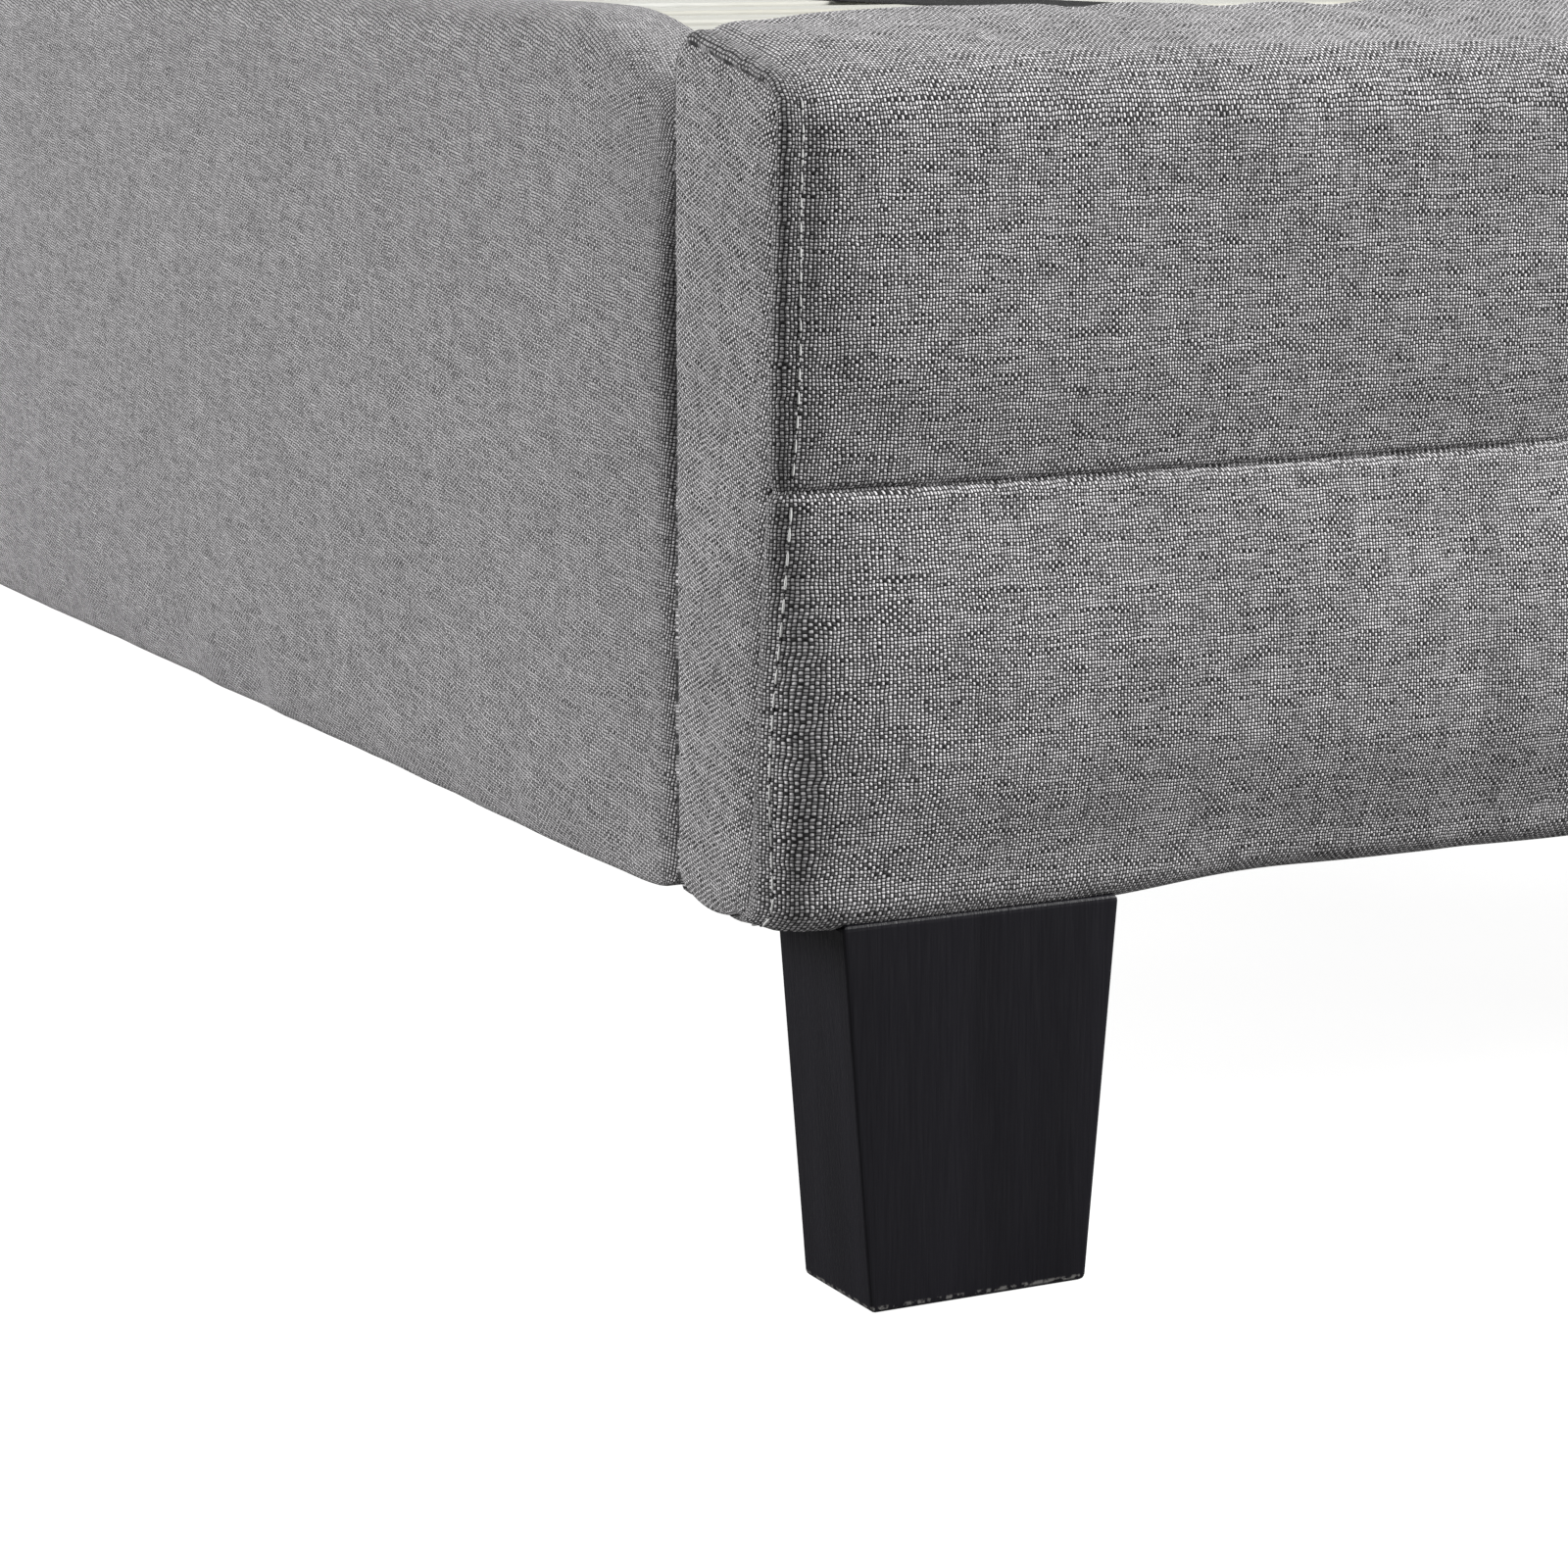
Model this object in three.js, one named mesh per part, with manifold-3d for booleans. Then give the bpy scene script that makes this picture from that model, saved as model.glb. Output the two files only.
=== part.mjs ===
// A full-size sleigh bed, upholstered in grey linen: a low footboard, two side rails, a rolled headboard,
// tapered block legs, and a slatted base on ledgers and a centre rail with levelling feet.
// Millimetres. +X across the bed, +Y from the footboard to the headboard, +Z up from the floor.
import * as THREE from "three";
import { mergeVertices } from "three/addons/utils/BufferGeometryUtils.js";
import Module from "manifold-3d";

// Driving dimensions
const WIDTH = 1450; // over the outer faces
const INNER_LENGTH = 1925; // footboard to headboard, for a 1905 mattress
const GAP = 0.3; // between pieces that touch
const SKIRT_Z = 120; // underside of the upholstery
const TUFT_PITCH = 286; // between buttons along a seam
const TUFT_COUNT = 4;

const FOOT = { depth: 70, top: 375, frontTop: 366, frontRadius: 15, backRadius: 12, seamZ: 248 };
FOOT.foam = 16; // front padding
FOOT.backFoam = 10;
FOOT.topFoam = 12;
FOOT.board = 4;
FOOT.batten = 45; // height of the top and bottom battens

const HEAD = { depth: 70, straightTop: 640, bendRadius: 1000, bend: 26, rollRadius: 70 };
HEAD.foam = 14;
HEAD.board = 4;
HEAD.backSkin = 4;
HEAD.buttonZ = 820;
HEAD.ribWidth = 24;

const GUSSET = 8; // thickness of a padded end panel
const RAIL = { depth: 35, top: 381, outerFoam: 9, innerFoam: 5, lipZ: 353, outerRadius: 12, innerRadius: 6 };
RAIL.endDrop = 24; // the board's top slopes down by this towards each end
RAIL.endRun = 95; // over this length
const LEDGER = { width: 25, height: 30 };
const SLAT = { count: 12, width: 75, thick: 17.7, top: 346, endGap: 2 };
const BAND = { width: 105, thick: 1.5, offset: 75 }; // offset: from the bed's centre line
const LEG = { topWidth: 94, bottomWidth: 74, depth: 43, inset: 22, setback: 1.5, headSetback: 14 };
const CENTRE_RAIL = { width: 36, height: 60 };
const CENTRE_LEG = { top: 50, bottom: 38, footGap: 22, bore: 4.4, boreDepth: 55 };
const LEVEL_FOOT = { radius: 20, pad: 8, stem: 4, top: 60 };
const BRACKET = { thick: 4, leg: 58, bottom: 175, top: 280 };
const HANGER = { thick: 3, plateWidth: 90, plateHeight: 90, cradle: 42 };
const BUTTON = { radius: 12, thick: 6, recess: 3, pocket: 13.5 };

// Places that follow from them
const HALF = WIDTH / 2;
const BEND = THREE.MathUtils.degToRad(HEAD.bend);
const BEND_CENTRE = { y: HEAD.bendRadius, z: HEAD.straightTop };
const ROLL_CENTRE = {
  y: HEAD.bendRadius - (HEAD.bendRadius - HEAD.rollRadius) * Math.cos(BEND),
  z: HEAD.straightTop + (HEAD.bendRadius - HEAD.rollRadius) * Math.sin(BEND),
};
const LENGTH = FOOT.depth + INNER_LENGTH + ROLL_CENTRE.y + HEAD.rollRadius;
const FRONT = -LENGTH / 2; // front face of the footboard
const INNER_FRONT = FRONT + FOOT.depth; // its back face
const HEAD_FRONT = INNER_FRONT + INNER_LENGTH; // front face of the headboard
const PAD_HALF = HALF - GUSSET - GAP; // half width between the end panels
const BEND_STEPS = 7;
const ROLL_STEPS = 16;

const wasm = await Module();
wasm.setup();

// Finishes
const finish = (color, roughness, metalness = 0) => new THREE.MeshStandardMaterial({ color, roughness, metalness });
const linen = finish(0x8b8989, 0.95);
const blackWood = finish(0x1c1b1f, 0.45);
const paleWood = finish(0xd9d6c6, 0.7);
const plywood = finish(0xb08d62, 0.75);
const blackSteel = finish(0x26272a, 0.5, 0.6);
const blackPlastic = finish(0x151517, 0.55);
const blackWebbing = finish(0x141416, 0.9);

const group = new THREE.Group();

function add(name, geometry, material) {
  const mesh = new THREE.Mesh(geometry, material);
  mesh.name = name;
  group.add(mesh);
  return mesh;
}

// Geometry helpers
function box(x0, x1, y0, y1, z0, z1) {
  return new THREE.BoxGeometry(x1 - x0, y1 - y0, z1 - z0).translate((x0 + x1) / 2, (y0 + y1) / 2, (z0 + z1) / 2);
}

function shapeOf(points) {
  return new THREE.Shape(points.map(([a, b]) => new THREE.Vector2(a, b)));
}

function extruded(points, depth, curveSegments = 4) {
  const shape = points instanceof THREE.Shape ? points : shapeOf(points);
  return new THREE.ExtrudeGeometry(shape, { depth, bevelEnabled: false, curveSegments });
}

// An outline in (y, z), run from x0 to x1.
function alongX(points, x0, x1) {
  const turn = new THREE.Matrix4().makeBasis(
    new THREE.Vector3(0, 1, 0),
    new THREE.Vector3(0, 0, 1),
    new THREE.Vector3(1, 0, 0),
  );
  return extruded(points, x1 - x0).applyMatrix4(turn).translate(x0, 0, 0);
}

// An outline in (x, z), run from y0 to y1.
function alongY(points, y0, y1) {
  return extruded(points, y1 - y0).rotateX(Math.PI / 2).translate(0, y1, 0);
}

// An outline in (x, y), run from z0 to z1.
function alongZ(points, z0, z1) {
  return extruded(points, z1 - z0).translate(0, 0, z0);
}

function solidOf(geometry) {
  const bare = geometry.index ? geometry.toNonIndexed() : geometry.clone();
  bare.deleteAttribute("normal");
  bare.deleteAttribute("uv");
  const merged = mergeVertices(bare, 1e-3);
  return new wasm.Manifold(
    new wasm.Mesh({
      numProp: 3,
      vertProperties: new Float32Array(merged.attributes.position.array),
      triVerts: new Uint32Array(merged.index.array),
    }),
  );
}

function geometryOf(solid) {
  const mesh = solid.getMesh();
  return new THREE.BufferGeometry()
    .setAttribute("position", new THREE.BufferAttribute(new Float32Array(mesh.vertProperties), 3))
    .setIndex(new THREE.BufferAttribute(new Uint32Array(mesh.triVerts), 1));
}

function cut(geometry, ...tools) {
  return geometryOf(tools.reduce((solid, tool) => solid.subtract(solidOf(tool)), solidOf(geometry)));
}

function join(...geometries) {
  return geometryOf(geometries.map(solidOf).reduce((a, b) => a.add(b)));
}

function arc(cy, cz, radius, from, to, steps) {
  const points = [];
  for (let i = 0; i <= steps; i++) {
    const angle = from + ((to - from) * i) / steps;
    points.push([cy + radius * Math.cos(angle), cz + radius * Math.sin(angle)]);
  }
  return points;
}

// Footboard

// The side outline: an upright face, a rounded front top edge and a top that rises to the back.
function footOutline() {
  const { depth, top, frontTop, frontRadius: f, backRadius: b } = FOOT;
  const slope = Math.atan2(top - frontTop, depth - f - b);
  return [
    [1.5, SKIRT_Z],
    [1.5, FOOT.seamZ],
    ...arc(f, frontTop - f, f, Math.PI, Math.PI / 2 + slope, 5),
    ...arc(depth - b, top - b, b, Math.PI / 2, 0, 4),
    [depth, SKIRT_Z],
  ].map(([y, z]) => [FRONT + y, z]);
}

const FOOT_CORE = {
  front: FRONT + FOOT.foam,
  back: INNER_FRONT - FOOT.backFoam,
  top: FOOT.frontTop - FOOT.topFoam,
};

function buttonPlaces(z) {
  const first = (-TUFT_PITCH * (TUFT_COUNT - 1)) / 2;
  return Array.from({ length: TUFT_COUNT }, (_, i) => new THREE.Vector3(first + i * TUFT_PITCH, 0, z));
}

// A shallow dome whose flat back lies at y = recess + thick and which faces -Y.
function buttonGeometry() {
  const { radius, thick } = BUTTON;
  const profile = [[0, 0], [radius, 0], [radius, thick * 0.4], [radius * 0.7, thick * 0.85], [0, thick]];
  return new THREE.LatheGeometry(profile.map(([r, h]) => new THREE.Vector2(r, h)), 16)
    .rotateX(Math.PI)
    .translate(0, BUTTON.recess + thick, 0);
}

function pocketGeometry() {
  const depth = BUTTON.recess + BUTTON.thick + GAP + 10;
  return new THREE.CylinderGeometry(BUTTON.pocket, BUTTON.pocket, depth, 16)
    .translate(0, depth / 2 - 10, 0);
}

function buildFootboard() {
  const { front, back, top } = FOOT_CORE;
  const outline = footOutline();
  const tools = buttonPlaces(FOOT.seamZ).map(({ x, z }) => pocketGeometry().translate(x, FRONT, z));
  const hollow = box(-HALF, HALF, front - GAP, back + GAP, SKIRT_Z - 50, top + GAP);
  add("foot_padding", cut(alongX(outline, -PAD_HALF, PAD_HALF), hollow, ...tools), linen);
  add("foot_gusset_left", alongX(outline, -HALF, -HALF + GUSSET), linen);
  add("foot_gusset_right", alongX(outline, HALF - GUSSET, HALF), linen);
  buttonPlaces(FOOT.seamZ).forEach(({ x, z }, i) => {
    add(`foot_button_${i + 1}`, buttonGeometry().translate(x, FRONT, z), linen);
  });
  const boardBack = front + FOOT.board;
  const frameFront = boardBack + GAP;
  const stile = 40;
  add("foot_front_board", box(-PAD_HALF, PAD_HALF, front, boardBack, SKIRT_Z, top), plywood);
  add("foot_batten_top", box(-PAD_HALF, PAD_HALF, frameFront, back, top - FOOT.batten, top), paleWood);
  add("foot_batten_bottom", box(-PAD_HALF, PAD_HALF, frameFront, back, SKIRT_Z, SKIRT_Z + FOOT.batten), paleWood);
  for (const [side, sign] of [["left", -1], ["right", 1]]) {
    const [x0, x1] = [sign * PAD_HALF, sign * (PAD_HALF - stile)].sort((a, b) => a - b);
    const [z0, z1] = [SKIRT_Z + FOOT.batten + GAP, top - FOOT.batten - GAP];
    add(`foot_stile_${side}`, box(x0, x1, frameFront, back, z0, z1), paleWood);
  }
}

// Headboard

// The front surface moved inwards by t: upright, bent back, then curled over into the roll.
function headFront(t, rollEnd) {
  const { bendRadius, rollRadius } = HEAD;
  const roll = arc(ROLL_CENTRE.y, ROLL_CENTRE.z, rollRadius - t, Math.PI - BEND, Math.PI - rollEnd, ROLL_STEPS);
  return [
    [t, SKIRT_Z],
    ...arc(BEND_CENTRE.y, BEND_CENTRE.z, bendRadius - t, Math.PI, Math.PI - BEND, BEND_STEPS),
    ...roll.slice(1),
  ];
}

// Where the surface t behind the front meets a roll of radius r: its angle of bend and its angle round the roll.
function rollMeet(t, r) {
  const [a, b] = [HEAD.bendRadius - t, HEAD.bendRadius - HEAD.rollRadius];
  const bend = BEND - Math.acos((a * a + b * b - r * r) / (2 * a * b));
  const [y, z] = [BEND_CENTRE.y - a * Math.cos(bend), BEND_CENTRE.z + a * Math.sin(bend)];
  return { bend, round: Math.PI - Math.atan2(z - ROLL_CENTRE.z, y - ROLL_CENTRE.y) };
}

// The surface t behind the front, from the given angle of bend down to the skirt.
function headBack(t, angle) {
  return [
    ...arc(BEND_CENTRE.y, BEND_CENTRE.z, HEAD.bendRadius - t, Math.PI - angle, Math.PI, BEND_STEPS),
    [t, SKIRT_Z],
  ];
}

// The closed side outline between a front offset and a back offset, with the roll.
function headOutline(frontOffset, backOffset) {
  const { bend, round } = rollMeet(backOffset, HEAD.rollRadius - frontOffset);
  return placed([...headFront(frontOffset, round).slice(0, -1), ...headBack(backOffset, bend)]);
}

const placed = (points) => points.map(([y, z]) => [HEAD_FRONT + y, z]);

const HEAD_CORE_FRONT = HEAD.foam + GAP + HEAD.board + GAP;
const HEAD_CORE_BACK = HEAD.depth - HEAD.backSkin - 4 * GAP; // clear of the back panel's flats along the bend

// The front cover and foam: a shell from the skirt up, over the roll and round to the back panel.
function headPaddingOutline() {
  const end = rollMeet(HEAD.depth, HEAD.rollRadius).round - (4 * GAP) / HEAD.rollRadius;
  return placed([...headFront(0, end), ...headFront(HEAD.foam, end).reverse()]);
}

function bandOutline(near, far, angle) {
  return placed([
    [near, SKIRT_Z],
    ...arc(BEND_CENTRE.y, BEND_CENTRE.z, HEAD.bendRadius - near, Math.PI, Math.PI - angle, BEND_STEPS),
    ...headBack(far, angle),
  ]);
}

// A frame on the front surface at height z: its place, and the lean of the surface there.
function onHeadFront(z) {
  const lean = Math.asin((z - HEAD.straightTop) / HEAD.bendRadius);
  return { y: HEAD_FRONT + HEAD.bendRadius * (1 - Math.cos(lean)), lean };
}

function buildHeadboard() {
  const { y: buttonY, lean } = onHeadFront(HEAD.buttonZ);
  const atButton = (geometry, x) => geometry.rotateX(-lean).translate(x, buttonY, HEAD.buttonZ);
  const tools = buttonPlaces(HEAD.buttonZ).map(({ x }) => atButton(pocketGeometry(), x));
  add("head_padding", cut(alongX(headPaddingOutline(), -PAD_HALF, PAD_HALF), ...tools), linen);
  buttonPlaces(HEAD.buttonZ).forEach(({ x }, i) => {
    add(`head_button_${i + 1}`, atButton(buttonGeometry(), x), linen);
  });
  const outline = headOutline(0, HEAD.depth);
  add("head_gusset_left", alongX(outline, -HALF, -HALF + GUSSET), linen);
  add("head_gusset_right", alongX(outline, HALF - GUSSET, HALF), linen);
  const nearFoam = HEAD.foam + GAP;
  add("head_front_board", alongX(bandOutline(nearFoam, nearFoam + HEAD.board, BEND), -PAD_HALF, PAD_HALF), plywood);
  const backAngle = rollMeet(HEAD.depth, HEAD.rollRadius).bend - (4 * GAP) / HEAD.bendRadius;
  const backOutline = bandOutline(HEAD.depth - HEAD.backSkin, HEAD.depth, backAngle);
  add("head_back_panel", alongX(backOutline, -PAD_HALF, PAD_HALF), linen);
  buildHeadFrame();
}

// Three curved ribs tied by a low board and a high batten, which the middle rib is notched to take.
function buildHeadFrame() {
  const ribOutline = headOutline(HEAD_CORE_FRONT, HEAD_CORE_BACK);
  const inner = PAD_HALF - HEAD.ribWidth;
  add("head_rib_left", alongX(ribOutline, -PAD_HALF, -inner), plywood);
  add("head_rib_right", alongX(ribOutline, inner, PAD_HALF), plywood);
  const low = { y: HEAD_FRONT + HEAD_CORE_FRONT, thick: 20, z0: 200, z1: 320 };
  const high = { y: HEAD_FRONT + ROLL_CENTRE.y - 20, thick: 40, z0: ROLL_CENTRE.z - 20, z1: ROLL_CENTRE.z + 20 };
  const bar = ({ y, thick, z0, z1 }, half, grow) => {
    return box(-half, half, y - grow, y + thick + grow, z0 - grow, z1 + grow);
  };
  add("head_rail_low", bar(low, inner - GAP, 0), paleWood);
  add("head_rail_high", bar(high, inner - GAP, 0), paleWood);
  const mid = alongX(ribOutline, -HEAD.ribWidth / 2, HEAD.ribWidth / 2);
  add("head_rib_mid", cut(mid, bar(low, HEAD.ribWidth, GAP), bar(high, HEAD.ribWidth, GAP)), plywood);
}

// Side rails

// The cover's section for the left rail, u mm in from its outer face: outside, over the top and a short lip.
function railSection() {
  const { depth, top, outerFoam, innerFoam, lipZ, outerRadius: ro, innerRadius: ri } = RAIL;
  const [inside, under] = [depth - innerFoam, top - outerFoam];
  return [
    [0, SKIRT_Z],
    ...arc(ro, top - ro, ro, Math.PI, Math.PI / 2, 4),
    ...arc(depth - ri, top - ri, ri, Math.PI / 2, 0, 3),
    [depth, lipZ],
    [inside, lipZ],
    [inside, under],
    [outerFoam, under],
    [outerFoam, SKIRT_Z + 2],
    [inside - 6, SKIRT_Z + 2],
    [inside - 6, SKIRT_Z],
  ];
}

// The board's side, with its top sloped down to each end
function railBoardOutline(y0, y1) {
  const [low, high] = [SKIRT_Z + 2 + GAP, RAIL.top - RAIL.outerFoam - GAP];
  const ends = high - RAIL.endDrop;
  return [[y0, low], [y1, low], [y1, ends], [y1 - RAIL.endRun, high], [y0 + RAIL.endRun, high], [y0, ends]];
}

function buildRails() {
  const [y0, y1] = [INNER_FRONT + GAP, HEAD_FRONT - GAP];
  for (const [side, sign] of [["left", -1], ["right", 1]]) {
    const at = (u) => sign * (HALF - u);
    const span = (u0, u1) => [at(u0), at(u1)].sort((a, b) => a - b);
    const section = railSection().map(([u, z]) => [at(u), z]);
    add(`rail_padding_${side}`, alongY(section, y0, y1), linen);
    const board = span(RAIL.outerFoam + GAP, RAIL.depth - RAIL.innerFoam - GAP);
    add(`rail_board_${side}`, alongX(railBoardOutline(y0, y1), ...board), paleWood);
    const ledgerOuter = RAIL.depth - RAIL.innerFoam;
    const ledger = span(ledgerOuter, ledgerOuter + LEDGER.width);
    const ledgerTop = SLAT.top - SLAT.thick - GAP;
    add(`ledger_${side}`, box(...ledger, y0 + 20, y1 - 20, ledgerTop - LEDGER.height, ledgerTop), paleWood);
  }
}

// L-shaped steel plates that bolt each rail to an end.
function buildCornerBrackets() {
  const { thick, leg, bottom, top } = BRACKET;
  const u = RAIL.depth - RAIL.innerFoam;
  for (const [side, sx] of [["left", -1], ["right", 1]]) {
    for (const [end, sy, wall] of [["foot", 1, INNER_FRONT + GAP], ["head", -1, HEAD_FRONT - GAP]]) {
      const corner = [[0, 0], [leg, 0], [leg, thick], [thick, thick], [thick, leg], [0, leg]];
      const points = corner.map(([a, b]) => [sx * (HALF - u - a), wall + sy * b]);
      add(`corner_bracket_${end}_${side}`, alongZ(points, bottom, top), blackSteel);
    }
  }
}

// Centre support
function buildCentre() {
  const half = CENTRE_RAIL.width / 2;
  const top = SLAT.top - SLAT.thick - GAP;
  const bottom = top - CENTRE_RAIL.height;
  const { thick, plateWidth, plateHeight, cradle } = HANGER;
  const [y0, y1] = [INNER_FRONT + GAP, HEAD_FRONT - GAP];
  add("centre_rail", box(-half, half, y0 + thick + GAP, y1 - thick - GAP, bottom, top), paleWood);
  for (const [end, wall, sign] of [["foot", y0, 1], ["head", y1, -1]]) {
    const span = (a, b) => [wall + sign * a, wall + sign * b].sort((p, q) => p - q);
    const low = bottom - GAP;
    const plateTop = top - 5;
    const outer = half + GAP + thick;
    const plate = box(-plateWidth / 2, plateWidth / 2, ...span(0, thick), plateTop - plateHeight, plateTop);
    const floor = box(-outer, outer, ...span(0, cradle), low - thick, low);
    const cheeks = [-1, 1].map((s) => {
      const x = [s * outer, s * (outer - thick)].sort((p, q) => p - q);
      return box(...x, ...span(0, cradle), low - thick, plateTop - 10);
    });
    add(`centre_bracket_${end}`, join(plate, floor, ...cheeks), blackSteel);
  }
  [-1, 1].forEach((sign, i) => {
    const y = (INNER_FRONT + HEAD_FRONT) / 2 + (sign * INNER_LENGTH) / 5;
    add(`centre_leg_${i + 1}`, centreLeg(bottom - GAP).translate(0, y, 0), blackWood);
    add(`level_foot_${i + 1}`, levelFoot().translate(0, y, 0), blackPlastic);
  });
}

// A square tapered post with a bore in its end for the levelling foot's stem.
function centreLeg(top) {
  const bottom = CENTRE_LEG.footGap;
  const height = top - bottom;
  const post = new THREE.CylinderGeometry(CENTRE_LEG.top / Math.SQRT2, CENTRE_LEG.bottom / Math.SQRT2, height, 4)
    .rotateY(Math.PI / 4)
    .rotateX(Math.PI / 2)
    .translate(0, 0, bottom + height / 2);
  const bore = new THREE.CylinderGeometry(CENTRE_LEG.bore, CENTRE_LEG.bore, CENTRE_LEG.boreDepth + 10, 16)
    .rotateX(Math.PI / 2)
    .translate(0, 0, bottom + (CENTRE_LEG.boreDepth - 10) / 2);
  return cut(post, bore);
}

function levelFoot() {
  const { radius, pad, stem, top } = LEVEL_FOOT;
  const profile = [[0, 0], [radius, 0], [radius, pad * 0.6], [radius * 0.8, pad], [stem, pad], [stem, top], [0, top]];
  return new THREE.LatheGeometry(profile.map(([r, h]) => new THREE.Vector2(r, h)), 16).rotateX(Math.PI / 2);
}

// Slats, and the band that keeps them spaced
function buildSlats() {
  const pitch = INNER_LENGTH / SLAT.count;
  const half = HALF - RAIL.depth - SLAT.endGap;
  const first = INNER_FRONT + pitch / 2;
  for (let i = 0; i < SLAT.count; i++) {
    const y = first + i * pitch;
    const slat = box(-half, half, y - SLAT.width / 2, y + SLAT.width / 2, SLAT.top - SLAT.thick, SLAT.top);
    add(`slat_${String(i + 1).padStart(2, "0")}`, slat, paleWood);
  }
  const last = first + (SLAT.count - 1) * pitch;
  const [y0, y1] = [first - SLAT.width / 2, last + SLAT.width / 2];
  const z = SLAT.top + GAP;
  const [x0, x1] = [BAND.offset - BAND.width / 2, BAND.offset + BAND.width / 2];
  add("slat_band", box(x0, x1, y0, y1, z, z + BAND.thick), blackWebbing);
}

// Corner legs, tapered across the bed only
function buildLegs() {
  const middle = HALF - LEG.inset - LEG.topWidth / 2;
  const ends = [["foot", FRONT + LEG.setback], ["head", HEAD_FRONT + LEG.headSetback]];
  for (const [end, y] of ends) {
    for (const [side, sign] of [["left", -1], ["right", 1]]) {
      const x = sign * middle;
      const [t, b] = [LEG.topWidth / 2, LEG.bottomWidth / 2];
      const face = [[x - b, 0], [x + b, 0], [x + t, SKIRT_Z - GAP], [x - t, SKIRT_Z - GAP]];
      add(`${end}_leg_${side}`, alongY(face, y, y + LEG.depth), blackWood);
    }
  }
}

buildFootboard();
buildHeadboard();
buildRails();
buildCornerBrackets();
buildCentre();
buildSlats();
buildLegs();

export default group;
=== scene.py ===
"""Sleigh bed: sewn linen covers, timber, hardware and a studio round the packed frame. Metres, +Z up."""

import functools
import math

import bpy
import numpy as np
from mathutils import Matrix, Vector
from mathutils.geometry import delaunay_2d_cdt


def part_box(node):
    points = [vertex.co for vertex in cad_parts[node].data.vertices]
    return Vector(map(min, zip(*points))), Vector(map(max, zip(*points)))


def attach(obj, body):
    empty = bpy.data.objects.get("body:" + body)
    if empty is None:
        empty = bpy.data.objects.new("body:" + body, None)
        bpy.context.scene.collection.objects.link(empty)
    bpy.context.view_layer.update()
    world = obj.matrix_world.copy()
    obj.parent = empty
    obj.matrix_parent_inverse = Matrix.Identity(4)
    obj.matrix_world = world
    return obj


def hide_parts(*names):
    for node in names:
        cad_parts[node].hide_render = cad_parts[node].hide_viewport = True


bl_info = {
    "name": "Sleigh bed upholstery",
    "version": (1, 0, 0),
    "blender": (4, 5, 0),
    "location": "View3D > Sidebar > Sleigh bed",
    "description": "Covers a packed sleigh bed with sewn linen and finishes its timber and hardware",
    "category": "Object",
}

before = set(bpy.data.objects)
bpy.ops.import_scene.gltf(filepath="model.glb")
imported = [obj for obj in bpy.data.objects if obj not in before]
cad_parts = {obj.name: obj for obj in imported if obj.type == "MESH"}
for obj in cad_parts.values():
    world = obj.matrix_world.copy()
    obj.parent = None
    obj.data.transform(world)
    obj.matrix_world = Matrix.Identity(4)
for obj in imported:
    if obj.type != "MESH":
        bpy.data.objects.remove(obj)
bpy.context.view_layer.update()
ROOT = "bed"
MM = 0.001
ENDS = (("left", -1), ("right", 1))


# Places that come from the frame


def low_high(node):
    """A node's lowest and highest corners, in metres."""
    low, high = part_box(node)
    return np.array(low, float), np.array(high, float)


FOOT_LOW, FOOT_HIGH = low_high("foot_gusset_left")
HEAD_LOW = low_high("head_gusset_left")[0]
RAIL_LOW, RAIL_HIGH = low_high("rail_padding_left")
HALF = -FOOT_LOW[0]  # half of the bed's width
FRONT = FOOT_LOW[1]
FOOT_BACK = FOOT_HIGH[1]
HEAD_FRONT = HEAD_LOW[1]
SKIRT = FOOT_LOW[2]
FOOT_TOP = FOOT_HIGH[2]
PANEL = FOOT_HIGH[0] - FOOT_LOW[0]  # thickness of an end panel
BUTTONS = [f"{end}_button_{i}" for end in ("foot", "head") for i in range(1, 5)]


def middle(node):
    low, high = low_high(node)
    return (low + high) / 2


# Settings


class BedLinen(bpy.types.PropertyGroup):
    """The linen's yarns."""

    pitch: bpy.props.FloatProperty(
        name="Yarn pitch", description="From one yarn to the next", default=1.04 * MM, unit="LENGTH"
    )
    slant: bpy.props.FloatProperty(
        name="Slant", description="Turn of the weave on the end panels", default=math.radians(-20), subtype="ANGLE"
    )
    light: bpy.props.FloatVectorProperty(
        name="Light yarn", description="Colour of the lightest yarns", default=(0.86, 0.842, 0.855), subtype="COLOR"
    )
    dark: bpy.props.FloatVectorProperty(
        name="Dark yarn", description="Colour between the yarns", default=(0.022, 0.021, 0.022), subtype="COLOR"
    )
    thread: bpy.props.FloatVectorProperty(
        name="Sewing thread", description="Colour of the topstitch", default=(0.56, 0.56, 0.55), subtype="COLOR"
    )
    relief: bpy.props.FloatProperty(
        name="Yarn relief", description="Height of a yarn over the gaps", default=0.35 * MM, unit="LENGTH"
    )


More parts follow.
